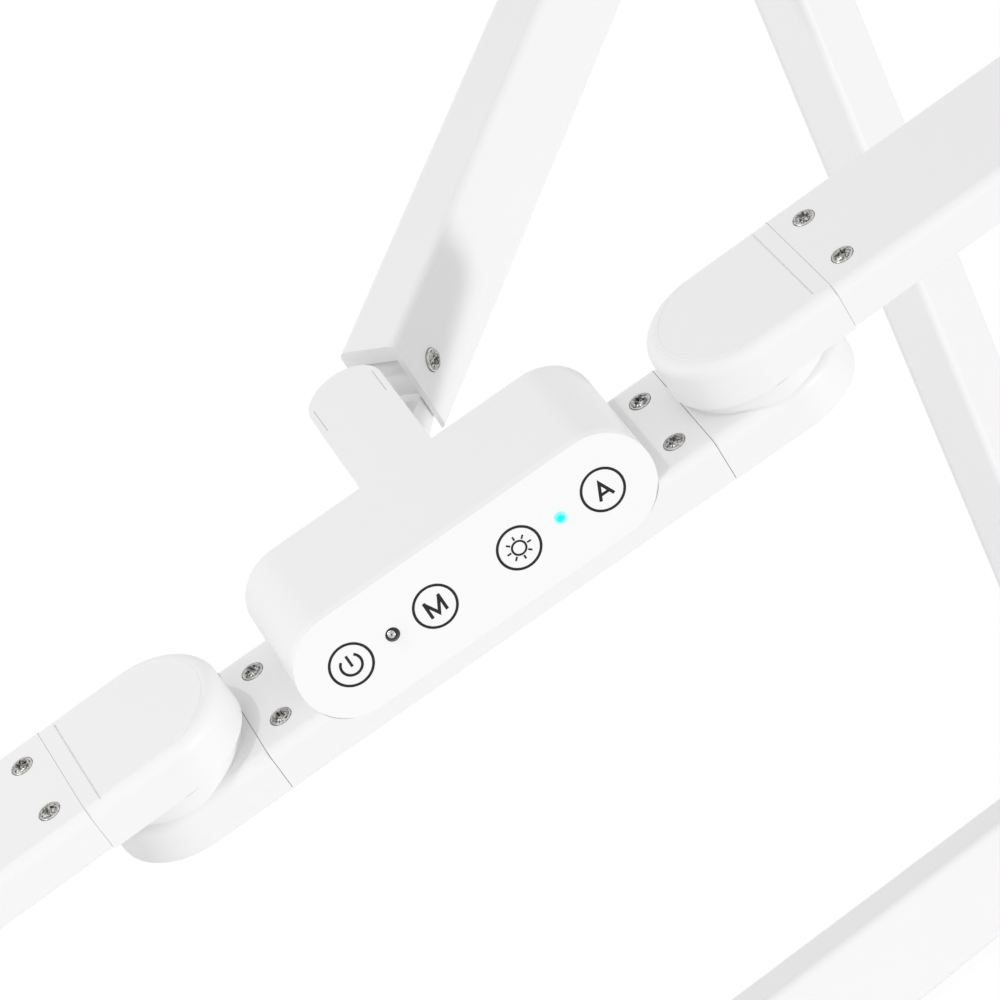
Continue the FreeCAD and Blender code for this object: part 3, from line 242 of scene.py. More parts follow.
class Wiring:
    """A helper that adds and joins the nodes of a node tree."""

    def __init__(self, tree: bpy.types.NodeTree) -> None:
        """Take a node tree and empty it.

        Args:
            tree: The tree of a material, a world or a modifier.
        """
        self.nodes = tree.nodes
        self.links = tree.links
        self.nodes.clear()

    def fill(self, node: bpy.types.Node, **values: float | bpy.types.NodeSocket) -> bpy.types.Node:
        """Set a node's inputs by name, or join sockets to them.

        Args:
            node: The node.
            values: Values or sockets, with underscores for the spaces in the inputs' names.

        Returns:
            The same node.
        """
        for name, value in values.items():
            place = node.inputs[name.replace("_", " ")]
            if isinstance(value, bpy.types.NodeSocket):
                self.links.new(value, place)
            else:
                place.default_value = value
        return node

    def add(self, kind: str, **values: float | bpy.types.NodeSocket) -> bpy.types.Node:
        """Add a node of a kind, with its inputs filled, and return it."""
        return self.fill(self.nodes.new(kind), **values)

    def blend(self, share: bpy.types.NodeSocket, first: bpy.types.NodeSocket,
              second: bpy.types.NodeSocket) -> bpy.types.NodeSocket:
        """Return a blend of two shaders.

        Args:
            share: The share of the second shader, from 0 to 1.
            first: The first shader.
            second: The second shader.

        Returns:
            The blended shader.
        """
        node = self.add("ShaderNodeMixShader", Fac=share)
        self.links.new(first, node.inputs[1])
        self.links.new(second, node.inputs[2])
        return node.outputs["Shader"]

    def seen_directly(self) -> bpy.types.NodeSocket:
        """Tell the rays that see a surface from those that only light it.

        Returns:
            A value of 1 for rays from the camera and for those mirrored or let through by the
            object, and 0 for the others.
        """
        path = self.add("ShaderNodeLightPath")
        total = path.outputs["Is Camera Ray"]
        for name in ("Is Glossy Ray", "Is Transmission Ray"):
            joined = self.add("ShaderNodeMath")
            joined.operation = "MAXIMUM"
            self.links.new(total, joined.inputs[0])
            self.links.new(path.outputs[name], joined.inputs[1])
            total = joined.outputs["Value"]
        return total


class Tree(Wiring):
    """The nodes of a material with one shader."""

    def __init__(self, name: str) -> None:
        """Start a material with its shader and the object's own coordinates.

        Args:
            name: The material's name.
        """
        self.material = bpy.data.materials.new(name)
        self.material.use_nodes = True
        super().__init__(self.material.node_tree)
        self.shader = self.add("ShaderNodeBsdfPrincipled")
        self.output = self.add("ShaderNodeOutputMaterial", Surface=self.shader.outputs["BSDF"])
        self.coordinates = self.add("ShaderNodeTexCoord").outputs["Object"]

    def noise(self, scale: float, detail: float = 2.0,
              stretch: Vector | None = None) -> bpy.types.NodeSocket:
        """Return a noise on the object's own coordinates.

        Args:
            scale: How many features there are in a metre.
            detail: How many finer layers there are.
            stretch: Factors along X, Y and Z, for a brushed look.

        Returns:
            The noise's factor.
        """
        place = self.coordinates
        if stretch is not None:
            place = self.add("ShaderNodeMapping", Vector=place, Scale=stretch).outputs["Vector"]
        return self.add("ShaderNodeTexNoise", Vector=place, Scale=scale, Detail=detail).outputs["Fac"]

    def spread(self, value: bpy.types.NodeSocket, low: float, high: float, start: float = 0.0,
               end: float = 1.0) -> bpy.types.NodeSocket:
        """Return a value spread between two numbers.

        Args:
            value: The value to spread.
            low: The result at the start.
            high: The result at the end.
            start: The value that gives the low result.
            end: The value that gives the high one.

        Returns:
            The spread value, which stays between the two results.
        """
        node = self.add("ShaderNodeMapRange", Value=value, From_Min=start, From_Max=end)
        return self.fill(node, To_Min=low, To_Max=high).outputs["Result"]

    def distance(self, centre: Vector) -> bpy.types.NodeSocket:
        """Measure how far each point lies from a fixed point of the object.

        Args:
            centre: The fixed point, in metres.

        Returns:
            The distance in metres.
        """
        offset = self.add("ShaderNodeMapping", Vector=self.coordinates, Location=-centre)
        length = self.add("ShaderNodeVectorMath")
        length.operation = "LENGTH"
        self.links.new(offset.outputs["Vector"], length.inputs[0])
        return length.outputs["Value"]

    def shade(self, value: bpy.types.NodeSocket, first: Colour | bpy.types.NodeSocket,
              second: Colour) -> bpy.types.NodeSocket:
        """Return a colour between two.

        Args:
            value: The share of the second colour, from 0 to 1.
            first: The first colour, or a socket that gives it.
            second: The second colour.

        Returns:
            The mixed colour.
        """
        node = self.add("ShaderNodeMix", Factor=value)
        node.data_type = "RGBA"
        colours = [socket for socket in node.inputs if socket.type == "RGBA"]
        if isinstance(first, bpy.types.NodeSocket):
            self.links.new(first, colours[0])
        else:
            colours[0].default_value = (*first, 1.0)
        colours[1].default_value = (*second, 1.0)
        return next(socket for socket in node.outputs if socket.type == "RGBA")

    def bump(self, value: bpy.types.NodeSocket, strength: float, depth: float) -> bpy.types.NodeSocket:
        """Return the slope of a surface that a value raises by a depth in metres."""
        return self.add("ShaderNodeBump", Height=value, Strength=strength, Distance=depth).outputs["Normal"]


@dataclass(frozen=True)
class Coated:
    """A painted, moulded or rubber finish: even colour, fine grain and slightly uneven gloss."""

    colour: Colour
    roughness: float
    grain: float = 1400.0
    grain_depth: float = 0.00003
    grain_strength: float = 0.35
    clouds: float = 24.0
    tint_shift: float = 0.012
    patches: float = 90.0
    patch_detail: float = 3.0
    gloss_shift: float = 0.05
    coat: float = 0.0
    gloss: float = 0.5

    def build(self, name: str) -> bpy.types.Material:
        """Make the material.

        Args:
            name: The material's name.

        Returns:
            The new material.
        """
        tree = Tree(name)
        darker = tuple(max(0.0, part - self.tint_shift) for part in self.colour)
        colour = tree.shade(tree.noise(self.clouds), darker, self.colour)
        low, high = self.roughness - self.gloss_shift, self.roughness + self.gloss_shift
        uneven = tree.spread(tree.noise(self.patches, self.patch_detail), low, high)
        relief = tree.bump(tree.noise(self.grain), self.grain_strength, self.grain_depth)
        tree.fill(tree.shader, Base_Color=colour, Roughness=uneven, Normal=relief)
        tree.fill(tree.shader, Coat_Weight=self.coat, Specular_IOR_Level=self.gloss)
        return tree.material


@dataclass(frozen=True)
class Metal:
    """A bare or plated metal, with fine marks that are drawn out along Z or even all ways. On the nickel the marks
    darken the colour strongly, as painted reflection.
    """

    colour: Colour
    roughness: float
    marks: float = 900.0
    mark_depth: float = 0.00002
    mark_detail: float = 4.0
    mark_strength: float = 0.3
    stretch: Point3 = (1.0, 1.0, 0.08)
    # How far the marks darken the colour: stains on bare metal, painted reflection on the nickel
    stain_and_mottled_reflection: float = 0.12
    contrast: float = 1.0
    smoothest: float = 0.8
    roughest: float = 1.3

    def build(self, name: str) -> bpy.types.Material:
        """Make the material.

        Args:
            name: The material's name.

        Returns:
            The new material.
        """
        tree = Tree(name)
        half = NOISE_MIDDLE / self.contrast
        marks = tree.noise(self.marks, self.mark_detail, Vector(self.stretch))
        marks = tree.spread(marks, 0.0, 1.0, NOISE_MIDDLE - half, NOISE_MIDDLE + half)
        # Darker where the marks are: stains, and on the nickel painted reflection
        darker = tuple(part * (1.0 - self.stain_and_mottled_reflection) for part in self.colour)
        colour = tree.shade(marks, darker, self.colour)
        low, high = self.roughness * self.smoothest, self.roughness * self.roughest
        uneven = tree.spread(marks, low, high)
        relief = tree.bump(marks, self.mark_strength, self.mark_depth)
        tree.fill(tree.shader, Base_Color=colour, Roughness=uneven, Normal=relief, Metallic=1.0)
        return tree.material


@dataclass(frozen=True)
class Glow:
    """A milky lens that glows from its middle and fades into the panel round it.

    The glow is whole out to the core's radius and gone at the fade's, both in millimetres.
    """

    colour: Colour
    panel: Colour
    core: float
    fade: float
    strength: float
    grain: float = 600.0
    tint_shift: float = 0.012
    roughness: float = 0.24
    gloss: float = 0.2

    def build(self, name: str) -> bpy.types.Material:
        """Make the material.

        Args:
            name: The material's name.

        Returns:
            The new material.
        """
        tree = Tree(name)
        reach = tree.distance(PANEL.at(LENS_STAND, 0.0, 0.0))
        glow = tree.spread(reach, 0.0, 1.0, self.fade * MM, self.core * MM)
        darker = tuple(part - self.tint_shift for part in self.panel)
        around = tree.shade(tree.noise(self.grain), darker, self.panel)
        colour = tree.shade(glow, around, self.colour)
        light = tree.shade(glow, (0.0, 0.0, 0.0), self.colour)
        tree.fill(tree.shader, Base_Color=colour, Roughness=self.roughness)
        tree.fill(tree.shader, Emission_Color=light, Emission_Strength=self.strength)
        tree.fill(tree.shader, Specular_IOR_Level=self.gloss)
        return tree.material


PANEL_WHITE = (0.935, 0.935, 0.938)
EVEN = (1.0, 1.0, 1.0)


class Surface(Enum):
    """Every finish on the lamp."""

    POWDER_COAT = Coated((0.905, 0.905, 0.905), 0.42, tint_shift=0.010)
    MOULDED_WHITE = Coated((0.900, 0.900, 0.902), 0.40, grain=2200.0, grain_depth=0.00002)
    TOUCH_PANEL = Coated(PANEL_WHITE, 0.24, grain=600.0, grain_depth=0.000008, coat=0.15)
    MILKY = Coated((0.885, 0.885, 0.895), 0.38, grain=500.0, grain_depth=0.00001, coat=0.2)
    STRIP_BOARD = Coated((0.86, 0.86, 0.80), 0.45)
    GREEN_BOARD = Coated((0.02, 0.12, 0.05), 0.35, coat=0.3)
    DARK_DOME = Coated((0.008, 0.008, 0.009), 0.08, gloss_shift=0.02, coat=0.2, gloss=0.4)
    NYLON = Coated((0.78, 0.78, 0.75), 0.5)
    BLACK_PLASTIC = Coated((0.02, 0.02, 0.021), 0.45)
    RUBBER = Coated((0.035, 0.035, 0.036), 0.75, grain=900.0, grain_depth=0.00006)
    KEY_INK = Coated((0.024, 0.024, 0.025), 0.55, grain=2600.0, grain_depth=0.000006, gloss=0.2)
    SEAM_SHADE = Coated((0.11, 0.11, 0.11), 0.8)
    # Grey lines: the wings' seams, and painted shade in the knuckle's two grooves
    SOFT_LINE = Coated((0.42, 0.42, 0.42), 0.8)
    # Painted shadow: the thin dark ring round each screw's seat
    SEAT_SHADE = Coated((0.05, 0.05, 0.05), 0.8)
    # Painted shade and reflection: the screws' crowns and recesses in a darker nickel with strong mottling
    CROWN_NICKEL = Metal((0.62, 0.61, 0.59), 0.22, marks=2100.0, mark_depth=0.00008, stretch=EVEN,
                         stain_and_mottled_reflection=0.86, contrast=4.0)
    # Plated nickel, its strong mottling partly painted reflection
    NICKEL = Metal((0.80, 0.79, 0.77), 0.20, marks=1700.0, mark_depth=0.00006, stretch=EVEN,
                   stain_and_mottled_reflection=0.5, contrast=2.5)
    ZINC_STEEL = Metal((0.56, 0.57, 0.58), 0.34)
    CYAN_GLOW = Glow((0.0, 0.78, 0.92), PANEL_WHITE, core=0.85, fade=1.70, strength=0.6)

    def material(self) -> bpy.types.Material:
        """Return the finish's material, made once."""
        name = self.name.lower()
        return bpy.data.materials.get(name) or self.value.build(name)


SLOT_SURFACES = {
    "white_aluminium": Surface.POWDER_COAT,
    "white_steel": Surface.POWDER_COAT,
    "white_housing": Surface.MOULDED_WHITE,
    "white_panel": Surface.TOUCH_PANEL,
    "white_caps": Surface.MOULDED_WHITE,
    "milky_diffuser": Surface.MILKY,
    "led_boards": Surface.STRIP_BOARD,
    "circuit_board": Surface.GREEN_BOARD,
    "dark_lens": Surface.DARK_DOME,
    "cyan_lens": Surface.CYAN_GLOW,
    "nickel_screws": Surface.NICKEL,
    "plated_steel": Surface.ZINC_STEEL,
    "nylon": Surface.NYLON,
    "black_plastic": Surface.BLACK_PLASTIC,
    "rubber_pads": Surface.RUBBER,
}


def set_surface(piece: bpy.types.Object, surface: Surface) -> None:
    """Give a whole piece one finish."""
    piece.data.materials.clear()
    piece.data.materials.append(surface.material())


def dress_cad_nodes() -> None:
    """Give every CAD node the finish of its own material slot."""
    for row in frame["record"]["subparts"]:
        set_surface(frame["nodes"][row["node"]], SLOT_SURFACES[row["material_slot"]])
    LOG.info("dressed %d solids of the frame", len(frame["nodes"]))


# Printed keys


class Key(Enum):
    """The four touch keys, each with its place along the panel in pitches from the middle."""

    POWER = -1.5
    MODE = -0.5
    BRIGHTNESS = 0.5
    AUTO = 1.5


@dataclass(frozen=True)
class Stroke:
    """A printed or moulded line of even width through points, in millimetres."""

    points: tuple[Point, ...]
    width: float
    closed: bool = False


def arc(radius: float, start: float, end: float, steps: int = 48) -> tuple[Point, ...]:
    """Return points on an arc about the origin.

    Args:
        radius: The arc's radius in millimetres.
        start: The angle of its first point, in degrees from straight up and clockwise.
        end: The angle of its last point.
        steps: How many steps there are.

    Returns:
        The points, first to last.
    """
    angles = [math.radians(start + (end - start) * i / steps) for i in range(steps + 1)]
    return tuple((radius * math.sin(angle), radius * math.cos(angle)) for angle in angles)


def mitre(point: Point, before: Point, after: Point) -> Vector:
    """Return the sideways step at a point of a line, longer where the line turns.

    Args:
        point: The point itself.
        before: The point before it, or itself at a free end.
        after: The point after it, or itself at a free end.

    Returns:
        A plane vector that reaches the line's edge when it is times half the line's width. At a
        sharp turn the mitre limit keeps it short.
    """
    here = Vector(point)
    into = here - Vector(before)
    out = Vector(after) - here
    into = into if into.length else out
    out = out if out.length else into
    into.normalize()
    out.normalize()
    way = (into + out).normalized()
    side = Vector((-way.y, way.x))
    return side / max(MITRE_LIMIT, side.dot(Vector((-into.y, into.x))))


def lay_stroke(work: bmesh.types.BMesh, axes: Axes, stroke: Stroke, low: float, high: float,
               crown: float = 1.0) -> None:
    """Add a line as a thin closed solid that lies on a face.

    Args:
        work: The mesh that takes the line.
        axes: The face's place and directions.
        stroke: The line to lay.
        low: The height of its underside, in millimetres.
        high: The height of its top.
        crown: The width of its top as a share of its foot's.
    """
    count = len(stroke.points)
    sections = []
    for i, (x, y) in enumerate(stroke.points):
        before = stroke.points[i - 1] if i or stroke.closed else stroke.points[i]
        after = stroke.points[(i + 1) % count] if i < count - 1 or stroke.closed else stroke.points[i]
        step = mitre((x, y), before, after) * (stroke.width / 2.0)
        section = ((1.0, low), (crown, high), (-crown, high), (-1.0, low))
        corners = [axes.at(x + step.x * share, y + step.y * share, height) for share, height in section]
        sections.append([work.verts.new(corner) for corner in corners])
    spans = count if stroke.closed else count - 1
    for i in range(spans):
        here, there = sections[i], sections[(i + 1) % count]
        for k in range(len(here)):
            after = (k + 1) % len(here)
            work.faces.new((here[k], here[after], there[after], there[k]))
    if not stroke.closed:
        work.faces.new(reversed(sections[0]))
        work.faces.new(sections[-1])


@dataclass
class KeyLegends:
    """The rings and signs printed on the touch panel, with sizes in millimetres and degrees."""

    key_pitch: float = 22.0
    key_drop: float = 0.30
    ink_height: float = 0.05
    overlap: float = 0.002
    ring_radius: float = 4.92
    ring_width: float = 0.62
    ring_steps: int = 96
    letter_half: float = 2.15
    letter_line: float = 0.74
    power_radius: float = 2.45
    power_line: float = 0.62
    power_gap: float = 42.0
    power_foot: float = 0.2
    mode_spread: float = 0.87
    auto_spread: float = 0.80
    auto_bar_drop: float = 0.42
    auto_bar_reach: float = 0.62
    auto_bar_line: float = 0.9
    sun_radius: float = 1.62
    sun_line: float = 0.48
    ray_inner: float = 2.08
    ray_outer: float = 3.05
    ray_line: float = 0.42
    ray_count: int = 8

    def ring(self) -> list[Stroke]:
        """Return the outline round every key."""
        around = arc(self.ring_radius, 0.0, 360.0, self.ring_steps)[:-1]
        return [Stroke(around, self.ring_width, closed=True)]

    def power(self) -> list[Stroke]:
        """Draw the power sign.

        Returns:
            A broken ring and the upright bar in its gap.
        """
        broken = arc(self.power_radius, self.power_gap, 360.0 - self.power_gap)
        bar = ((0.0, self.power_radius), (0.0, -self.power_foot * self.power_radius))
        return [Stroke(broken, self.power_line), Stroke(bar, self.power_line)]

    def mode(self) -> list[Stroke]:
        """Draw the letter for the light mode.

        Returns:
            Its two uprights and the valley between them.
        """
        side = self.mode_spread * self.letter_half
        top = self.letter_half
        left = ((-side, -top), (-side, top))
        right = ((side, -top), (side, top))
        inset = self.letter_line / 2
        valley = ((-side, top - inset), (0.0, -top + inset), (side, top - inset))
        return [Stroke(line, self.letter_line) for line in (left, right, valley)]

    def brightness(self) -> list[Stroke]:
        """Draw the brightness sign.

        Returns:
            A small ring and the rays round it.
        """
        strokes = [Stroke(arc(self.sun_radius, 0.0, 360.0)[:-1], self.sun_line, closed=True)]
        for i in range(self.ray_count):
            angle = 2.0 * math.pi * i / self.ray_count
            way = (math.sin(angle), math.cos(angle))
            ray = tuple((way[0] * reach, way[1] * reach) for reach in (self.ray_inner, self.ray_outer))
            strokes.append(Stroke(ray, self.ray_line))
        return strokes

    def auto(self) -> list[Stroke]:
        """Draw the letter for the automatic timer.

        Returns:
            Its two sides and its bar.
        """
        foot = self.auto_spread * self.letter_half
        top = self.letter_half
        inset = self.letter_line / 2
        sides = ((-foot, -top), (0.0, top - inset), (foot, -top))
        level = -self.auto_bar_drop * top
        reach = foot * self.auto_bar_reach
        bar = Stroke(((-reach, level), (reach, level)), self.letter_line * self.auto_bar_line)
        return [Stroke(sides, self.letter_line), bar]

    def build(self) -> None:
        """Make the four legends."""
        signs = {Key.POWER: self.power, Key.MODE: self.mode, Key.BRIGHTNESS: self.brightness,
                 Key.AUTO: self.auto}
        for key, sign in signs.items():
            axes = PANEL.shifted(key.value * self.key_pitch, -self.key_drop, 0.0)
            work = bmesh.new()
            half = self.ink_height / 2
            for order, stroke in enumerate(self.ring() + sign()):
                lay_stroke(work, axes, stroke, -half, half + self.overlap * order)
            new_piece(key.name.lower() + "_key_legend", work, "head", Surface.KEY_INK)


# Lenses on the panel


@dataclass
class Lenses:
    """The light sensor's dark dome with a pale ring on it as a painted highlight, and the glow round the
    indicator.
    """

    foot_depth: float = 1.82
    foot_radius: float = 1.66
    foot_chamfer: float = 0.36
    dome_radius: float = 1.5
    dome_foot: float = 0.08
    dome_height: float = 0.85
    # Place, radii and rise of the pale ring on the dome, a painted highlight
    highlight_centre: Point = (-0.2, 0.52)
    highlight_rings: tuple[float, ...] = (0.20, 0.46, 0.72, 0.84)
    highlight_stand: float = 0.03
    halo_rings: tuple[float, ...] = (0.9, 1.4, 2.0)
    halo_stand: float = 0.012
    segments: int = 40
    steps: int = 10

    def dome(self, radius: float) -> float:
        """Return the dome's height at a distance from its middle."""
        ball = (self.dome_radius ** 2 + self.dome_height ** 2) / (2.0 * self.dome_height)
        return self.dome_foot + self.dome_height - ball + math.sqrt(max(0.0, ball ** 2 - radius ** 2))

    def sensor(self) -> None:
        """Make the sensor's dome in place of its plain solid."""
        foot, radius = -self.foot_depth, self.foot_radius
        outline = [(0.0, foot), (radius - self.foot_chamfer, foot)]
        outline += [(radius, foot + self.foot_chamfer), (radius, self.dome_foot / 2)]
        radii = [self.dome_radius * (1.0 - i / self.steps) for i in range(self.steps + 1)]
        outline += [(reach, self.dome(reach)) for reach in radii]
        work = bmesh.new()
        axes = PANEL.shifted(-LENS_STAND, 0.0, 0.0)
        spin_outline(work, axes, outline, self.segments)
        piece = new_piece("sensor_dome", work, "head", Surface.DARK_DOME)
        for face in piece.data.polygons:
            face.use_smooth = True
        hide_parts("sensor_lens")
        # A pale nickel ring on the dome's upper side, as a painted highlight
        highlight_ring = bmesh.new()
        self.plate(highlight_ring, axes, self.highlight_centre, self.highlight_rings, self.highlight_stand, on_dome=True)
        new_piece("sensor_chip", highlight_ring, "head", Surface.NICKEL)

    def plate(self, work: bmesh.types.BMesh, axes: Axes, centre: Point, rings: tuple[float, ...],
              stand: float, on_dome: bool) -> None:
        """Add a thin closed ring that lies on the panel or on the sensor's dome.

        Args:
            work: The mesh that takes the ring.
            axes: The lens's place on the panel.
            centre: The ring's middle, in millimetres from the lens's.
            rings: Its radii, from the inner edge to the outer one.
            stand: How far its top stands proud of what it lies on.
            on_dome: Whether it lies on the dome.
        """
        loops = []
        for lift, radii in ((stand, rings), (-stand, tuple(reversed(rings)))):
            for radius in radii:
                loop = []
                for i in range(self.segments):
                    angle = 2.0 * math.pi * i / self.segments
                    x = centre[0] + radius * math.cos(angle)
                    y = centre[1] + radius * math.sin(angle)
                    height = self.dome(math.hypot(x, y)) if on_dome else 0.0
                    loop.append(work.verts.new(axes.at(x, y, height + lift)))
                loops.append(loop)
        for k, loop in enumerate(loops):
            other = loops[(k + 1) % len(loops)]
            for i in range(self.segments):
                after = (i + 1) % self.segments
                work.faces.new((loop[i], loop[after], other[after], other[i]))

    def halo(self) -> None:
        """Let the indicator's light spread in the panel round its lens."""
        work = bmesh.new()
        axes = PANEL.shifted(LENS_STAND, 0.0, 0.0)
        self.plate(work, axes, (0.0, 0.0), self.halo_rings, self.halo_stand, on_dome=False)
        new_piece("indicator_halo", work, "head", Surface.CYAN_GLOW)

    def build(self) -> None:
        """Make the sensor and the indicator's glow."""
        self.sensor()
        self.halo()


# Moulded lines


@dataclass
class MouldedLines:
    """The fine rims on the wings' lugs, and the knuckle's two short grooves drawn as grey lines of painted shade.
    """

    rim_radius: float = 15.9
    rim_width: float = 0.5
    rim_height: float = 0.09
    rim_crown: float = 0.3
    rim_reach: float = 78.0
    lug_top: float = 15.2
    sunk: float = 0.05
    knuckle_x: float = 8.0
    knuckle_from: float = 43.5
    knuckle_to: float = 53.0
    knuckle_top: float = 18.1
    knuckle_width: float = 0.13
    line_stand: float = 0.012

    def build(self) -> None:
        """Make the rims and the lines."""
        for side, middle in (("right", 270.0), ("left", 90.0)):
            pin, normal = joint(side + "_wing_swing")
            axes = Axes(pin, HEAD.x, normal.cross(HEAD.x), normal).shifted(0.0, 0.0, self.lug_top)
            work = bmesh.new()
            points = arc(self.rim_radius, middle - self.rim_reach, middle + self.rim_reach)
            rim = Stroke(points, self.rim_width)
            lay_stroke(work, axes, rim, -self.sunk, self.rim_height, self.rim_crown)
            wing = side + "_wing"
            new_piece(side + "_lug_rim", work, wing, Surface.POWDER_COAT)
        # The knuckle's two grooves, drawn as grey lines of painted shade
        work = bmesh.new()
        axes = HEAD.shifted(0.0, 0.0, self.knuckle_top)
        for x in (-self.knuckle_x, self.knuckle_x):
            line = Stroke(((x, self.knuckle_from), (x, self.knuckle_to)), self.knuckle_width)
            lay_stroke(work, axes, line, -self.sunk, self.line_stand)
        new_piece("knuckle_lines", work, "head", Surface.SOFT_LINE)


# Screws and bolts


@dataclass(frozen=True)
class FastenerSize:
    """The sizes of a pan-head screw, in metres, read from its solid."""

    head_radius: float
    head_height: float
    shank_radius: float
    shank_length: float


@dataclass
class Fasteners:
    """Pan-head screws and bolts with a cross recess, in place of their plain solids.

    The recess, tip and crown are shares of the screw's own sizes, and the seat's sizes are in metres. The crown is
    painted darker and mottled as shade and reflection, and a thin ring at the seat is painted dark as the head's
    shadow.
    """

    segments: int = 48
    recess_reach: float = 0.66
    recess_width: float = 0.15
    recess_flare: float = 0.25
    recess_depth: float = 0.62
    recess_foot: float = 0.62
    recess_mouth: float = 1.12
    recess_top: float = 1.4
    tip_share: float = 0.35
    tip_limit: float = 0.2
    # Share of the head's radius inside which the crown is painted darker as shade and reflection
    painted_shade_reach: float = 0.86
    # Width and height of the dark ring round the head's foot, painted as its shadow on the seat
    seat_shadow_width: float = 0.00009
    seat_shadow_height: float = 0.00003
    seat_tolerance: float = 0.00002
    few_points: int = 8
    head_curve: tuple[Point, ...] = ((1.0, 0.30), (0.985, 0.42), (0.94, 0.52), (0.88, 0.56), (0.84, 0.54),
                                     (0.82, 0.58), (0.76, 0.72), (0.66, 0.86), (0.52, 0.96), (0.34, 1.0))

    def read(self, points: list[Vector], axis: Vector) -> tuple[FastenerSize, Vector]:
        """Read a screw's sizes and place from its solid.

        Args:
            points: The solid's vertices.
            axis: The direction from its shank to its head.

        Returns:
            The screw's sizes and the point on its axis at the seat of its head.
        """
        levels = [point.dot(axis) for point in points]
        low, high = min(levels), max(levels)
        flat = [point - axis * level for point, level in zip(points, levels)]
        bottom = [spot for spot, level in zip(flat, levels) if level < low + self.seat_tolerance]
        centre = sum(bottom, Vector()) / len(bottom)
        if len(bottom) > self.few_points:
            rows = list(zip(*bottom))
            centre = Vector([(min(row) + max(row)) / 2 for row in rows])
        radii = [(spot - centre).length for spot in flat]
        head_radius = max(radii)
        slack = self.seat_tolerance
        seat = min(level for level, radius in zip(levels, radii) if radius > head_radius - slack)
        shank_radius = max(radius for level, radius in zip(levels, radii) if level < low + slack)
        return FastenerSize(head_radius, high - seat, shank_radius, seat - low), centre + axis * seat

    def profile(self, size: FastenerSize) -> list[Point]:
        """Return the outline of a screw as radius and height from its seat, in millimetres.

        Args:
            size: The screw's sizes.

        Returns:
            The points from the shank's tip to the middle of the crown.
        """
        tip = min(size.shank_radius * self.tip_share, size.shank_length * self.tip_limit)
        outline = [(0.0, -size.shank_length), (size.shank_radius - tip, -size.shank_length)]
        outline += [(size.shank_radius, -size.shank_length + tip), (size.shank_radius, 0.0)]
        # A thin ring round the head's foot, which takes the dark finish of painted shadow
        seat_shadow_radius = size.head_radius + self.seat_shadow_width
        outline += [(seat_shadow_radius, 0.0), (seat_shadow_radius, self.seat_shadow_height)]
        outline.append((size.head_radius, self.seat_shadow_height))
        outline += [(size.head_radius * share, size.head_height * rise) for share, rise in self.head_curve]
        outline.append((0.0, size.head_height))
        return [(radius / MM, height / MM) for radius, height in outline]

    def solid(self, name: str, size: FastenerSize) -> bpy.types.Object:
        """Make one screw that stands on the origin, with its cross recess cut.

        Args:
            name: The name of the piece that the screw is for.
            size: The screw's sizes.

        Returns:
            The screw, with face attributes that mark its crown, which takes a darker nickel as painted shade and
            reflection, and the dark ring at its seat, which is painted shadow.
        """
        work = bmesh.new()
        spin_outline(work, ROW, self.profile(size), self.segments)
        screw = show_work(name + "_screw", work)
        cutter = self.cross(name + "_cutter", size)
        cut = screw.modifiers.new("recess", "BOOLEAN")
        cut.operation = "DIFFERENCE"
        cut.solver = "EXACT"
        cut.object = cutter
        graph = bpy.context.evaluated_depsgraph_get()
        mesh = bpy.data.meshes.new_from_object(screw.evaluated_get(graph))
        screw.modifiers.clear()
        screw.data = mesh
        bpy.data.objects.remove(cutter)
        # Crown faces take the darker mottled nickel of painted shade and reflection; the seat ring takes the dark
        # painted shadow
        marks = {"crown": [], "seat": []}
        for face in mesh.polygons:
            reach = math.hypot(face.center.x, face.center.y)
            marks["crown"].append(reach < size.head_radius * self.painted_shade_reach and face.center.z > 0.0)
            marks["seat"].append(reach > size.head_radius and face.center.z >= 0.0)
        for label, values in marks.items():
            mesh.attributes.new(label, "BOOLEAN", "FACE").data.foreach_set("value", values)
        return screw

    def cross(self, name: str, size: FastenerSize) -> bpy.types.Object:
        """Make the tapered cross that cuts a screw's recess.

        Args:
            name: The object's name.
            size: The screw's sizes.

        Returns:
            The cutter, in place over the screw's head.
        """
        reach = size.head_radius * self.recess_reach
        half = size.head_radius * self.recess_width
        flare = size.head_radius * self.recess_flare
        arm = [(reach, -half), (reach, half), (flare, flare)]
        plan = arm + [(-y, x) for x, y in arm] + [(-x, -y) for x, y in arm] + [(y, -x) for x, y in arm]
        low = size.head_height * (1.0 - self.recess_depth)
        high = size.head_height * self.recess_top
        work = bmesh.new()
        bottom = [work.verts.new((x * self.recess_foot, y * self.recess_foot, low)) for x, y in plan]
        top = [work.verts.new((x * self.recess_mouth, y * self.recess_mouth, high)) for x, y in plan]
        work.faces.new(reversed(bottom))
        work.faces.new(top)
        for i in range(len(plan)):
            after = (i + 1) % len(plan)
            work.faces.new((bottom[i], bottom[after], top[after], top[i]))
        bmesh.ops.recalc_face_normals(work, faces=work.faces)
        return show_work(name, work)

    @staticmethod
    def scatter_tree() -> bpy.types.NodeTree:
        """Make the node group that stands a screw on every point and turns it about its own axis.

        Returns:
            The node group, made once.
        """
        name = "stand_screws"
        if name in bpy.data.node_groups:
            return bpy.data.node_groups[name]
        tree = bpy.data.node_groups.new(name, "GeometryNodeTree")
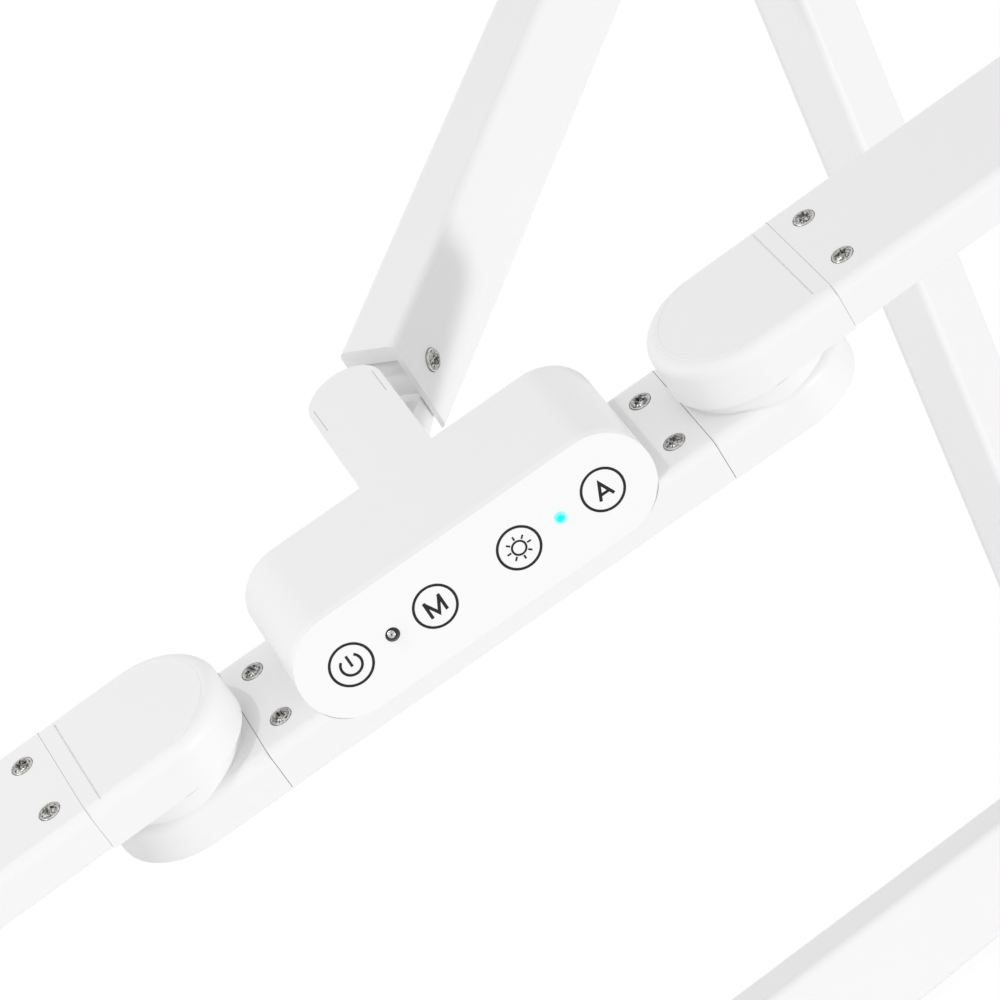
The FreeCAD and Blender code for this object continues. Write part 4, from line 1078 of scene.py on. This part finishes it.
        # Crown is the painted shade and reflection of the crown, Seat the painted shadow round the head
        sockets = {"Points": "Geometry", "Screw": "Object", "Axis": "Vector", "Seed": "Int",
                   "Plating": "Material", "Crown": "Material", "Seat": "Material"}
        for label, kind in sockets.items():
            tree.interface.new_socket(label, in_out="INPUT", socket_type="NodeSocket" + kind)
        tree.interface.new_socket("Screws", in_out="OUTPUT", socket_type="NodeSocketGeometry")
        wiring = Wiring(tree)
        source = wiring.add("NodeGroupInput").outputs
        screw = wiring.add("GeometryNodeObjectInfo", Object=source["Screw"])
        aim = wiring.add("FunctionNodeAlignRotationToVector", Vector=source["Axis"])
        aim.axis = "Z"
        chance = wiring.add("FunctionNodeRandomValue", Seed=source["Seed"])
        turn_limit = next(socket for socket in chance.inputs if socket.name == "Max" and socket.enabled)
        turn_limit.default_value = math.pi / 2
        angle = next(socket for socket in chance.outputs if socket.enabled)
        spin = wiring.add("FunctionNodeAxisAngleToRotation", Angle=angle).outputs["Rotation"]
        turn = wiring.add("FunctionNodeRotateRotation", Rotation=aim.outputs["Rotation"], Rotate_By=spin)
        turn.rotation_space = "LOCAL"
        stand = wiring.add("GeometryNodeInstanceOnPoints", Points=source["Points"],
                           Instance=screw.outputs["Geometry"], Rotation=turn.outputs["Rotation"])
        real = wiring.add("GeometryNodeRealizeInstances", Geometry=stand.outputs["Instances"])
        last = wiring.add("GeometryNodeSetMaterial", Geometry=real.outputs["Geometry"],
                          Material=source["Plating"])
        # Paint the crown darker as shade and reflection, and the seat ring dark as shadow
        for label in ("Crown", "Seat"):
            marked = wiring.add("GeometryNodeInputNamedAttribute", Name=label.lower())
            marked.data_type = "BOOLEAN"
            chosen = next(socket for socket in marked.outputs if socket.enabled)
            last = wiring.add("GeometryNodeSetMaterial", Geometry=last.outputs["Geometry"],
                              Selection=chosen, Material=source[label])
        wiring.add("NodeGroupOutput", Screws=last.outputs["Geometry"])
        return tree

    def replace(self, node: str, body: str, axis: Vector, seed: int) -> None:
        """Stand detailed screws where a node has plain ones.

        Args:
            node: The node of plain screws, all one size and pointing one way.
            body: The body that they hold.
            axis: The direction from shank to head.
            seed: The seed of the screws' turns.
        """
        screws = [self.read(points, axis) for points in loose_parts(node)]
        name = node + "_cross_head"
        screw = self.solid(name, screws[0][0])
        points = bpy.data.meshes.new(name + "_points")
        points.from_pydata([place for _, place in screws], [], [])
        carrier = show_mesh(name + "_carrier", points)
        tree = self.scatter_tree()
        spread = carrier.modifiers.new("screws", "NODES")
        spread.node_group = tree
        # The crown's material is painted shade and reflection, the seat's is painted shadow
        values = {"Screw": screw, "Axis": axis, "Seed": seed, "Plating": Surface.NICKEL.material(),
                  "Crown": Surface.CROWN_NICKEL.material(), "Seat": Surface.SEAT_SHADE.material()}
        for item in tree.interface.items_tree:
            if item.in_out == "INPUT" and item.name in values:
                spread[item.identifier] = values[item.name]
        bpy.context.view_layer.update()
        graph = bpy.context.evaluated_depsgraph_get()
        mesh = bpy.data.meshes.new_from_object(carrier.evaluated_get(graph))
        mesh.name = name
        bpy.data.objects.remove(carrier)
        bpy.data.objects.remove(screw)
        piece = show_mesh(name, mesh)
        for face in mesh.polygons:
            face.use_smooth = False
        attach(piece, body)
        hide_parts(node)
        LOG.info("stood %d screws of %s", len(screws), node)

    def build(self) -> None:
        """Make every screw and bolt whose head shows."""
        sideways = Vector((1.0, 0.0, 0.0))
        self.replace("lug_screws", "head", HEAD.z, 3)
        self.replace("right_wing_screws", "right_wing", HEAD.z, 5)
        self.replace("left_wing_screws", "left_wing", HEAD.z, 8)
        self.replace("tilt_bolt", "upper_arm", sideways, 2)
        self.replace("elbow_bolt", "lower_arm", sideways, 4)
        self.replace("foot_bolt", "base", sideways, 6)


# Seams


@dataclass
class Seams:
    """The dark hairlines where the bars meet their lugs."""

    width: float = 0.12
    wing_width: float = 0.10
    proud: float = 0.02
    inset: float = 0.25
    round_steps: int = 6
    bar_depth: float = 36.4
    bar_height: float = 12.1
    top_round: float = 2.6
    bottom_round: float = 1.2
    central_reach: float = 58.7

    def outline(self, grow: float) -> list[Point]:
        """Return the bar's section, from one lower corner over the top to the other.

        Args:
            grow: How far the line stands out from the bar, in millimetres.

        Returns:
            Points as depth and height, the top at zero height.
        """
        half = self.bar_depth / 2
        top, low = self.top_round, self.bottom_round
        foot = low - self.bar_height
        corners = ((low - half, foot, low, 270.0, 180.0), (top - half, -top, top, 180.0, 90.0),
                   (half - top, -top, top, 90.0, 0.0), (half - low, foot, low, 0.0, -90.0))
        points = []
        for depth, height, radius, start, end in corners:
            for i in range(self.round_steps + 1):
                angle = math.radians(start + (end - start) * i / self.round_steps)
                reach = radius + grow
                points.append((depth + reach * math.cos(angle), height + reach * math.sin(angle)))
        return points

    def band(self, work: bmesh.types.BMesh, axes: Axes, width: float) -> None:
        """Add one closed thin band round the bar's section.

        Args:
            work: The mesh that takes the band.
            axes: The seam's place, its X axis along the bar and its top at zero height.
            width: The band's width along the bar.
        """
        outer = self.outline(self.proud)
        inner = self.outline(-self.inset)
        count = len(outer)
        loops = []
        for points, side in ((outer, -1), (outer, 1), (inner, 1), (inner, -1)):
            x = side * width / 2
            loops.append([work.verts.new(axes.at(x, depth, height)) for depth, height in points])
        for k, here in enumerate(loops):
            there = loops[(k + 1) % len(loops)]
            for i in range(count):
                after = (i + 1) % count
                work.faces.new((here[i], here[after], there[after], there[i]))

    def wing_axes(self, wing: str) -> Axes:
        """Return the axes of a wing's seam, from its two screws and the end of its bar.

        Args:
            wing: The wing's body.

        Returns:
            The seam's place and directions.
        """
        pin, normal = joint(wing + "_swing")
        spots = [sum(points, Vector()) / len(points) for points in loose_parts(wing + "_screws")]
        middle = (spots[0] + spots[1]) / 2
        across = (spots[0] - spots[1]).normalized()
        along = across.cross(normal)
        if along.dot(middle - pin) < 0:
            along, across = -along, -across
        axes = Axes(pin, along, across, normal)
        bar = [axes.local(vertex.co) for vertex in frame["nodes"][wing + "_bar"].data.vertices]
        return axes.shifted(min(spot.x for spot in bar), 0.0, max(spot.z for spot in bar))

    def build(self) -> None:
        """Make the seams on the central bar and on both wings."""
        work = bmesh.new()
        for side in (-1, 1):
            self.band(work, HEAD.shifted(side * self.central_reach, 0.0, 0.0), self.width)
        new_piece("central_bar_seams", work, "head", Surface.SEAM_SHADE)
        for wing in ("right_wing", "left_wing"):
            work = bmesh.new()
            self.band(work, self.wing_axes(wing), self.wing_width)
            new_piece(wing + "_seam", work, wing, Surface.SOFT_LINE)


# Studio


@dataclass(frozen=True)
class Light:
    """A soft square light: its place and its side in metres, and its power in watts."""

    place: Point3
    side: float
    power: float


@dataclass
class Studio:
    """The floor, the light and the camera."""

    camera_place: Point3 = (0.565928, -0.785752, 0.349558)
    camera_target: Point3 = (0.042943, 0.052027, 0.192674)
    camera_roll: float = -12.3271
    focal_px: float = 4569.126
    frame_px: float = 1000.0
    sensor: float = 36.0
    nearest: float = 0.05
    farthest: float = 200.0
    floor_half: float = 30.0
    floor_drop: float = 0.0003
    floor_white: float = 0.94
    floor_shift: float = 0.01
    floor_clouds: float = 3.0
    floor_roughness: float = 0.9
    floor_glow: float = 0.92
    floor_shine: float = 1.03
    sky: float = 0.728
    key_light: Light = Light((3.844, -0.168, -0.874), 0.42, 49.5)
    fill_light: Light = Light((-0.46, -0.675, 0.37), 0.4, 1.0)
    top_light: Light = Light((-0.202, -0.771, 1.025), 0.03, 1.7)

    def camera(self) -> None:
        """Stand the camera where the photograph was taken from."""
        data = bpy.data.cameras.new("camera")
        data.sensor_width = self.sensor
        data.lens = self.focal_px / self.frame_px * self.sensor
        data.clip_start, data.clip_end = self.nearest, self.farthest
        camera = bpy.data.objects.new("camera", data)
        bpy.context.scene.collection.objects.link(camera)
        place, target = Vector(self.camera_place), Vector(self.camera_target)
        look = (target - place).to_track_quat("-Z", "Y").to_matrix().to_4x4()
        roll = Matrix.Rotation(math.radians(self.camera_roll), 4, "Z")
        camera.matrix_world = Matrix.Translation(place) @ look @ roll
        bpy.context.scene.camera = camera

    def floor(self) -> None:
        """Lay the pale floor, which shows the object's shadow softly."""
        work = bmesh.new()
        half = self.floor_half
        corners = ((-half, -half), (half, -half), (half, half), (-half, half))
        work.faces.new([work.verts.new((x, y, -self.floor_drop)) for x, y in corners])
        floor = show_work("floor", work)
        tree = Tree("studio_floor")
        pale = (self.floor_white,) * 3
        darker = (self.floor_white - self.floor_shift,) * 3
        colour = tree.shade(tree.noise(self.floor_clouds), darker, pale)
        tree.fill(tree.shader, Base_Color=colour, Roughness=self.floor_roughness, Specular_IOR_Level=0.0)
        glow = tree.add("ShaderNodeEmission", Strength=self.floor_shine).outputs["Emission"]
        share = tree.spread(tree.seen_directly(), 0.0, self.floor_glow)
        tree.fill(tree.output, Surface=tree.blend(share, tree.shader.outputs["BSDF"], glow))
        floor.data.materials.append(tree.material)
        floor.visible_shadow = False

    def world(self) -> None:
        """Light the room evenly, and show it white."""
        world = bpy.data.worlds.new("room")
        bpy.context.scene.world = world
        world.use_nodes = True
        wiring = Wiring(world.node_tree)
        white = wiring.add("ShaderNodeBackground", Color=(1.0, 1.0, 1.0, 1.0), Strength=1.0)
        dim = wiring.add("ShaderNodeBackground", Color=(1.0, 1.0, 1.0, 1.0), Strength=self.sky)
        room = wiring.blend(wiring.seen_directly(), dim.outputs["Background"], white.outputs["Background"])
        wiring.add("ShaderNodeOutputWorld", Surface=room)

    def hang(self, name: str, light: Light) -> None:
        """Hang a light so that it faces the lamp's head.

        Args:
            name: The light's name.
            light: Its place, side and power.
        """
        data = bpy.data.lights.new(name, "AREA")
        data.shape = "SQUARE"
        data.size = light.side
        data.energy = light.power
        hung = bpy.data.objects.new(name, data)
        bpy.context.scene.collection.objects.link(hung)
        hung.location = light.place
        hung.rotation_mode = "QUATERNION"
        way = Vector(self.camera_target) - Vector(light.place)
        hung.rotation_quaternion = way.to_track_quat("-Z", "Y")
        hung.visible_camera = False

    def build(self) -> None:
        """Set up the studio."""
        self.camera()
        self.floor()
        self.world()
        self.hang("key_light", self.key_light)
        self.hang("fill_light", self.fill_light)
        self.hang("top_light", self.top_light)
        bpy.context.scene.view_settings.view_transform = "Standard"
        LOG.info("studio ready")


def main() -> None:
    """Dress the frame, add the printed and turned details, and set up the studio."""
    logging.basicConfig(level=logging.INFO, format="%(name)s: %(message)s")
    dress_cad_nodes()
    KeyLegends().build()
    Lenses().build()
    Fasteners().build()
    Seams().build()
    MouldedLines().build()
    Studio().build()


if __name__ == "__main__":
    main()
